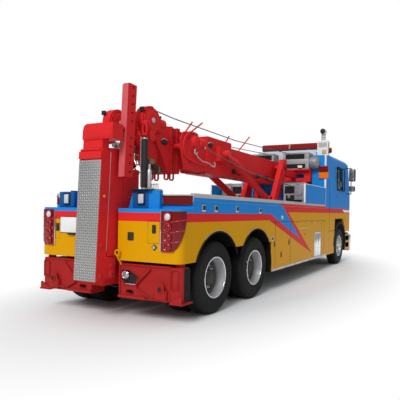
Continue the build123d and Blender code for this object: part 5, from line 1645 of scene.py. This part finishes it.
# %% The rope keeper
keeper = Shape()
keeper.tube([(-3.5, -0.1, 2.785), (-3.5, -0.1, 2.955)], 0.011, 8)
keeper.disc((-3.5, -0.1, 2.782), (0, 0, 1), 0.026, 0.014, bevel=0.003)
keeper.disc((-3.5, -0.1, 2.945), (0, 0, 1), 0.016, 0.016, bevel=0.004)
keeper.make("rope_keeper", black_steel, "boom_inner")
tell()

# %% [markdown]
# ## Hoses and valves
# Rubber hoses loop from the pipes to the valves at the boom's head. Each is one smooth
# curve, shifted a little from the next, so that the bundle looks laid by hand. They ride on one body, so
# nothing has to bend.

# %% Hoses and valves at the boom's head
head_pipes = Shape()
for n, (y, drop) in enumerate(((-0.15, 0.0), (-0.19, 0.02), (-0.12, 0.04), (0.15, 0.01))):
    head_pipes.tube(curve_through([(-3.62, y, 2.062 - drop * 0.3), (-3.78, y - 0.02, 2.1 - drop),
                                   (-3.9, y - 0.03, 2.2 - drop), (-3.96, y - 0.01, 2.34),
                                   (-3.94, y, 2.47), (-3.86, y, 2.55)], 6), 0.0105, 10)
for y in (-0.16, 0.15):
    head_pipes.box((-3.9, -3.855), span(y, 0.035), (2.52, 2.58), 0.005)
head_pipes.make("boom_head_pipes", hose_grey, "boom_inner")
hoses, unions = Shape(), Shape()
for n in range(5):
    drop, out = 0.03 * n, 0.016 * (n % 3)
    run = curve_through([(-4.03 + 0.01 * n, -0.222, 2.33 - 0.4 * drop), (-3.985, -0.24 - out, 2.25 - drop),
                         (-3.9, -0.255 - out, 2.19 - drop), (-3.8, -0.24 - out, 2.17 - 0.8 * drop),
                         (-3.69, -0.222, 2.13 - 0.5 * drop), (-3.6, -0.215, 2.115 - 0.2 * drop)], 6)
    hoses.tube(run, 0.0125, 10)
    for spot in (run[6], run[-8]):
        unions.disc(spot, (1.0, 0, -0.5), 0.018, 0.03, sides=10, bevel=0.003)
hoses.make("boom_head_hoses", hose_grey, "boom_inner")
unions.box((-3.985, -3.885), (-0.3, -0.2085), (2.16, 2.235), 0.008)
unions.make("boom_head_unions", brass, "boom_inner")
motor = Shape()
for y, z in ((0.24, 2.43), (0.11, 2.37)):
    motor.turned([(0.0, 0.0), (0.03, 0.0), (0.034, 0.006), (0.034, 0.05), (0.048, 0.056), (0.052, 0.062),
                  (0.052, 0.15), (0.046, 0.158), (0.0, 0.158)], (-4.165, y, z), (1, 0, 0), 32)
motor.box((-4.02, -3.855), (0.07, 0.285), (2.345, 2.455), 0.008)
motor.make("boom_head_valves", winch_grey, "boom_inner")
silver_hook = Shape()
silver_hook.tube(curve_through([(-4.035, -0.05, 2.3), (-4.035, -0.05, 2.23), (-4.04, -0.07, 2.175),
                                (-4.042, -0.105, 2.14), (-4.042, -0.14, 2.155),
                                (-4.04, -0.15, 2.195)], 6), 0.012, 10)
silver_hook.disc((-4.035, -0.05, 2.3), (0, 1, 0), 0.022, 0.02, bevel=0.004)
silver_hook.box((-4.045, -3.9), (-0.062, -0.038), (2.29, 2.312), 0.004)
silver_hook.make("tow_hook_right", steel_bright, "boom_inner")
tell()

# %% [markdown]
# ## Pins and lift cylinders
# Pins hold the boom and its lift cylinders, and each ends in a cap with a nut. The rings and the oil pipe of
# a cylinder are set out along its own direction, so that they lean with it.

# %% Pins on the tower and the lift cylinders
lift_base = Vector((0.03, 0.0, 1.78))
lift_way = Vector((-0.924386, 0.0, 0.381493))
for side in sides:
    towers, glands, eyes = shapes(3, side)
    for x, z, y, radius in ((1.02, 2.6, 0.459, 0.082), (0.03, 1.78, 0.509, 0.052)):
        towers.disc((x, y, z), outward, radius, 0.012, bevel=0.003)
        towers.disc((x, (y + 0.011), z), outward, radius * 0.4, 0.01, sides=6)
    towers.make("tower_pin_caps", dark_red_paint)
    eyes.disc((-1.86, 0.334, 2.56), outward, 0.062, 0.01, bevel=0.003)
    eyes.disc((-1.86, 0.343, 2.56), outward, 0.026, 0.008, sides=6)
    eyes.make("boom_eye_caps", dark_red_paint, "boom")
    for along, radius, deep in ((1.735, 0.079, 0.034), (0.16, 0.079, 0.03), (1.4, 0.0775, 0.012)):
        ring = [(radius - 0.02, 0.0), (radius - 0.002, 0.0), (radius, 0.003), (radius, deep - 0.003),
                (radius - 0.002, deep), (radius - 0.02, deep)]
        glands.turned(ring, lift_base + Vector((0, 0.4, 0)) + lift_way * along, lift_way, 40)
    port = lift_base + Vector((0, 0.4, 0)) + lift_way * 1.45 + Vector((0.0, 0.07, 0.02))
    glands.disc(port, outward, 0.018, 0.016, sides=6)
    pipe_run = [port + Vector((0, 0.008, 0)) - lift_way * 1.1 * k / 6 for k in range(7)]
    glands.tube(pipe_run, 0.009, 8)
    glands.make("cylinder_glands", red_paint, "lift_barrels")
tower_plates = Shape()
for _ in both(tower_plates):
    tower_plates.side_plate([(0.42, 1.72), (0.56, 1.72), (1.02, 2.47), (0.93, 2.5)], (0.461, 0.469), 0.002)
    for x in (0.36, 0.5, 0.64):
        tower_plates.box(span(x, 0.05), (0.335, 0.5), (1.695, 1.712))
    tower_plates.box((0.24, 0.7), (0.33, 0.53), (1.6952, 1.706))
tower_plates.make("tower_plates", red_paint)
tell()

# %% [markdown]
# ## Deck column
# A black post with a small ram and a row of valve levers stands at the right of the deck's rear end. Its
# parts are turned or plain round bars, because that is how such parts are machined. A thin bright bar down
# the post's side is a painted highlight.

# %% Deck column, its ram and valves
column = Shape()
post = Vector((-4.233, -0.4, 0))
column.turned([(0.03, 1.79), (0.0445, 1.79), (0.045, 1.8), (0.045, 2.455), (0.043, 2.47),
               (0.03, 2.47)],
              post, (0, 0, 1), 36)
column.make("deck_column_sleeve", black_steel)
shine = Shape()
# This thin bright bar against the post is a painted highlight.
shine.tube([(-4.262, -0.356, 1.8), (-4.262, -0.356, 2.5)], 0.0065, 10)
shine.disc((-4.233, -0.4, 2.47), (0, 0, 1), 0.03, 0.018, bevel=0.004)
shine.turned([(0.0, 1.765), (0.028, 1.765), (0.03, 1.772), (0.03, 2.03), (0.026, 2.04), (0.016, 2.044),
              (0.016, 2.12), (0.0, 2.12)], (-4.222, -0.478, 0), (0, 0, 1), 36)
for n in range(4):
    shine.disc((-4.24, -0.575 + 0.018 * n, 1.765), (0, 0, 1), 0.007, 0.022, sides=10, bevel=0.001)
shine.make("deck_column_ram", alloy)
valves = Shape()
valves.box((-4.2745, -4.139), (-0.644, -0.336), (1.762, 1.772))
for n in range(5):
    y = -0.62 + 0.026 * n
    valves.box((-4.276, -4.268), span(y, 0.009), (1.705, 1.755), 0.002)
    valves.tube([(-4.2, y, 1.77), (-4.215, y, 1.835)], 0.0045, 8)
    valves.disc((-4.2155, y, 1.832), (0, 0, 1), 0.01, 0.018, sides=12, bevel=0.003)
valves.make("deck_valves", steel_bright)
tell()

# %% [markdown]
# ## Ledge lamps
# Square lamps stand on the ledge behind the deck, beside blue fins and a yellow lifting eye. Each lamp is
# three blocks with rounded edges, one in front of the other: panel, body and glass.

# %% Ledge lamps, cowl and blue fins
for side in sides:
    fin = Shape(side)
    fin.rear_plate([(0.3, 1.5), (0.3, 1.735), (0.272, 1.712), (0.208, 1.5)],
                   (-4.33, -4.276), 0.006)
    fin.make("ledge_fin", body_paint)
    dark, panel = shapes(2, side)
    panel.box((-4.3495, -4.3), (0.3, 0.572), (1.503, 1.748))
    dark.box((-4.362, -4.344), (0.385, 0.52), (1.545, 1.722), 0.012)
    dark.box((-4.4, -4.27), (0.29, 0.64), (1.7505, 1.7655), 0.004)
    panel.make("ledge_panel", dark_blue_paint)
    dark.make("ledge_lamp_body", black_plastic)
    clear = Shape(side)
    clear.box((-4.369, -4.358), (0.408, 0.497), (1.57, 1.7), 0.01, 3)
    clear.make("ledge_lamp_glass", lens_clear)
box = Shape()
box.box((-4.395, -4.292), (0.76, 1.065), (1.502, 1.735), 0.014, 3)
box.make("left_lamp_box", dark_blue_paint)
box = Shape()
box.box((-4.404, -4.392), (0.835, 0.965), (1.535, 1.715), 0.014, 3)
box.box((-4.38, -4.3), (0.79, 0.85), (1.735, 1.75), 0.004)
box.make("left_lamp_body", black_plastic)
box = Shape()
box.box((-4.411, -4.4), (0.862, 0.95), (1.56, 1.695), 0.01, 3)
box.disc((-4.35, 1.066, 1.665), (0, 1, 0), 0.02, 0.045, bevel=0.004)
box.make("left_lamp_glass", lens_clear)
ring = Shape()
ring.turned([(0.026, -0.007), (0.044, -0.007), (0.046, 0.0), (0.044, 0.007), (0.026, 0.007), (0.024, 0.0)],
            (-4.596, -0.262, 0.905), (1, 0, 0), 36)
ring.tube([(-4.596, -0.262, 0.862), (-4.57, -0.275, 0.8), (-4.53, -0.28, 0.742)], 0.012, 10)
ring.make("yellow_lifting_eye", yellow_paint)
tell()

# %% [markdown]
# ## Mirrors and front flares
# Large mirrors stand out from the cab, and a rubber flare lines each front wheel opening. A shell is a block
# with strongly rounded edges. The flare is a flat ring between two arcs, since its section is constant.

# %% Mirror shells and front flares
mirror_body = body_of_node["mirrors"]
for side in sides:
    shells, glasses = shapes(2, side)
    for y, z in (((1.325, 1.515), (2.465, 2.84)), ((1.325, 1.505), (2.155, 2.322))):
        shells.box((4.186, 4.33), y, z, 0.04, 4)
        glasses.box((4.178, 4.19), (y[0] + 0.018, y[1] - 0.018),
                   (z[0] + 0.018, z[1] - 0.018), 0.012, 3)
    shells.make("mirror_shells", black_plastic, mirror_body)
    glasses.make("mirror_glass", mirror_glass, mirror_body)
    flare = Shape(side)
    wheel = (axles["front"], 0.53)
    flare.side_plate(arc(2, 178, 24, 0.715, wheel) + arc(178, 2, 24, 0.645, wheel), out_from(-0.05, 0.012),
                     0.004)
    flare.make("front_flare", rubber)
tell()

# %% [markdown]
# ## Grille
# Seven bright bars cross the grille above a blank number plate. The bars are one block that a node tree
# repeats in a row, so that their count and spacing are two numbers.

# %% Grille bars and the blank front plate
bar = Shape().box((-0.01, 0.01), (-0.735, 0.735), (-0.007, 0.007), 0.003).drawn("bar")
repeated("grille_bars", row_tree, {"Part": bar, "Count": 7, "Step": (0, 0, 0.085)}, alloy,
         body_of_node["grille"], Matrix.Translation((4.758, 0, 1.075)))
bpy.data.objects.remove(bar)
front_plate = Shape()
front_plate.box((4.919, 4.929), (-0.22, 0.22), (0.385, 0.555), 0.004)
front_plate.make("front_plate_blank", plate_white)
tell()

# %% [markdown]
# ## Headlamps, wipers and steps
# Round headlamps stand in pairs in the bumper, wipers lie on the windscreen, and a rubber frames each door
# window. What bends is a bar along points, what is round is turned, and the rest is a rounded block.

# %% Headlamps, wipers, window rubbers and steps
for side in sides:
    bowls, glasses, fog, blade, rubbers, marker, treads = shapes(7, side)
    for y in (0.862, 0.998):
        bowls.turned([(0.06, 0.0), (0.068, 0.0), (0.07, 0.006), (0.066, 0.014), (0.058, 0.006)],
                     (4.905, y, 0.6), (1, 0, 0), 40)
        glasses.turned([(0.0, 0.012), (0.03, 0.01), (0.052, 0.005), (0.06, 0.0), (0.0, 0.0)],
                       (4.907, y, 0.6), (1, 0, 0), 40)
    bowls.box((4.89, 4.902), (0.785, 1.075), (0.478, 0.712), 0.004)
    bowls.make("headlamp_bowls", chrome)
    glasses.make("headlamp_glass", lens_clear)
    fog.box((4.895, 4.915), (0.8, 1.06), (0.487, 0.52), 0.006)
    marker.box((4.43, 4.52), out_from(-0.001, 0.014), (1.38, 1.425), 0.006)
    marker.make("cab_marker", lens_orange, "cab")
    fog.make("front_indicator", lens_orange)
    blade.tube([(4.742, 0.1, 1.945), (4.746, 0.34, 2.055)], 0.01, 10)
    blade.tube([(4.742, 0.06, 2.02), (4.738, 0.34, 2.058), (4.734, 0.66, 2.105)], 0.008, 10)
    blade.disc((4.73, 0.1, 1.945), (1, 0, 0), 0.022, 0.02, bevel=0.004)
    blade.make("wiper", black_plastic, "cab")
    window = [(3.13, 2.15), (3.975, 2.15), (3.975, 2.8), (3.13, 2.8)]
    for k, start in enumerate(window):
        end = window[(k + 1) % 4]
        rubbers.tube([(start[0], 1.247, start[1]), (end[0], 1.247, end[1])], 0.014, 8)
    rubbers.make("window_rubber", rubber, f"door_{side}")
    for z in (0.43, 0.64):
        for x in (4.25, 4.33, 4.41):
            treads.box(span(x, 0.02), out_from(-0.1, -0.012), (z + 0.001, z + 0.01), 0.002)
    treads.make("cab_step_treads", alloy)
    fitting, cap = shapes(2, side)
    # the fitting sits low and well forward, so that the tilting cab passes behind it
    fitting.box((4.864, 4.922), (1.055, 1.165), (0.829, 0.872), 0.012, 3)
    fitting.make("bumper_fitting", black_plastic)
    cap.box((4.765, 4.905), out_from(-0.003, 0.006), (0.33, 0.8), 0.01, 3)
    cap.make("bumper_corner", chrome)
tell()

# %% [markdown]
# ## Step boxes
# Behind each front wheel hangs a bright box of folded sheet. Its folds are upright blocks that stand out by
# turns, which gives real edges where a bump would only shade.

# %% Bright step boxes
step_boxes = Shape()
for _ in both(step_boxes):
    for k in range(5):
        x = 1.025 + 0.098 * k
        out = 0.016 + 0.01 * (k % 2)
        step_boxes.box((x, x + 0.094), out_from(0.0, out), (0.42, 0.985), 0.012, 3)
    step_boxes.box((1.01, 1.53), out_from(0.0, 0.03), (0.985, 1.01), 0.006)
step_boxes.make("chrome_step_boxes", chrome)
tell()

# %% [markdown]
# ## Light and floor
# A pale overcast sky with one broad, soft sun behind the truck. The floor keeps the shadow near the
# wheels and fades to plain white further out, so that no horizon crosses the picture.

# %% Sky, sun and floor
sky_strength = 0.54
sun_strength = 2.1
sun_from = Vector((-0.85, -0.1, 0.72))

world = bpy.data.worlds.new("sky")
scene.world = world
world.use_nodes = True
sky = world.node_tree
background = sky.nodes["Background"]
rays = add(sky, "ShaderNodeLightPath").outputs
seen = maths(sky, "MAXIMUM", rays["Is Camera Ray"], rays["Is Transmission Ray"])
toward = add(sky, "ShaderNodeTexCoord").outputs["Generated"]
climb = add(sky, "ShaderNodeSeparateXYZ", {0: toward}).outputs["Z"]
lit = blended(sky, remapped(sky, climb, -0.1, 0.5), (0.55, 0.54, 0.52, 1), (0.92, 0.96, 1.0, 1))
sky.links.new(blended(sky, seen, lit, (1, 1, 1, 1)), background.inputs["Color"])
sky.links.new(remapped(sky, seen, 0, 1, sky_strength, 1.0), background.inputs["Strength"])

sun = bpy.data.objects.new("sun", bpy.data.lights.new("sun", "SUN"))
scene.collection.objects.link(sun)
sun.data.energy = sun_strength
sun.data.angle = radians(24)
sun.rotation_euler = sun_from.to_track_quat("Z", "Y").to_euler()

half = 30.0  # half the floor's width
floor_mesh = bpy.data.meshes.new("floor")
corners = [(-half, -half, 0), (half, -half, 0), (half, half, 0), (-half, half, 0)]
floor_mesh.from_pydata(corners, [], [(0, 1, 2, 3)])
floor = bpy.data.objects.new("floor", floor_mesh)
scene.collection.objects.link(floor)

floor_finish = bpy.data.materials.new("floor")
floor_finish.use_nodes = True
ground = floor_finish.node_tree
ground_shader = ground.nodes["Principled BSDF"]
ground_shader.inputs["Base Color"].default_value = (0.8, 0.8, 0.8, 1)
ground_shader.inputs["Roughness"].default_value = 0.9
x, y, _ = coordinates(ground)
across = maths(ground, "MULTIPLY", y, 2.2)  # the shadow is longer than wide
away = maths(ground, "SQRT", maths(ground, "ADD", maths(ground, "MULTIPLY", x, x),
                                   maths(ground, "MULTIPLY", across, across)))
fade = remapped(ground, away, 4.5, 7.5)
seen_floor = maths(ground, "MAXIMUM", *[add(ground, "ShaderNodeLightPath").outputs[n]
                                        for n in ("Is Camera Ray", "Is Glossy Ray")])
plain_white = add(ground, "ShaderNodeEmission", {"Color": (1, 1, 1, 1), "Strength": 1.0})
floor_mix = add(
    ground, "ShaderNodeMixShader",
    {0: maths(ground, "MULTIPLY", fade, seen_floor), 1: ground_shader.outputs[0], 2: plain_white.outputs[0]},
)
ground.links.new(floor_mix.outputs[0], ground.nodes["Material Output"].inputs["Surface"])
floor_mesh.materials.append(floor_finish)
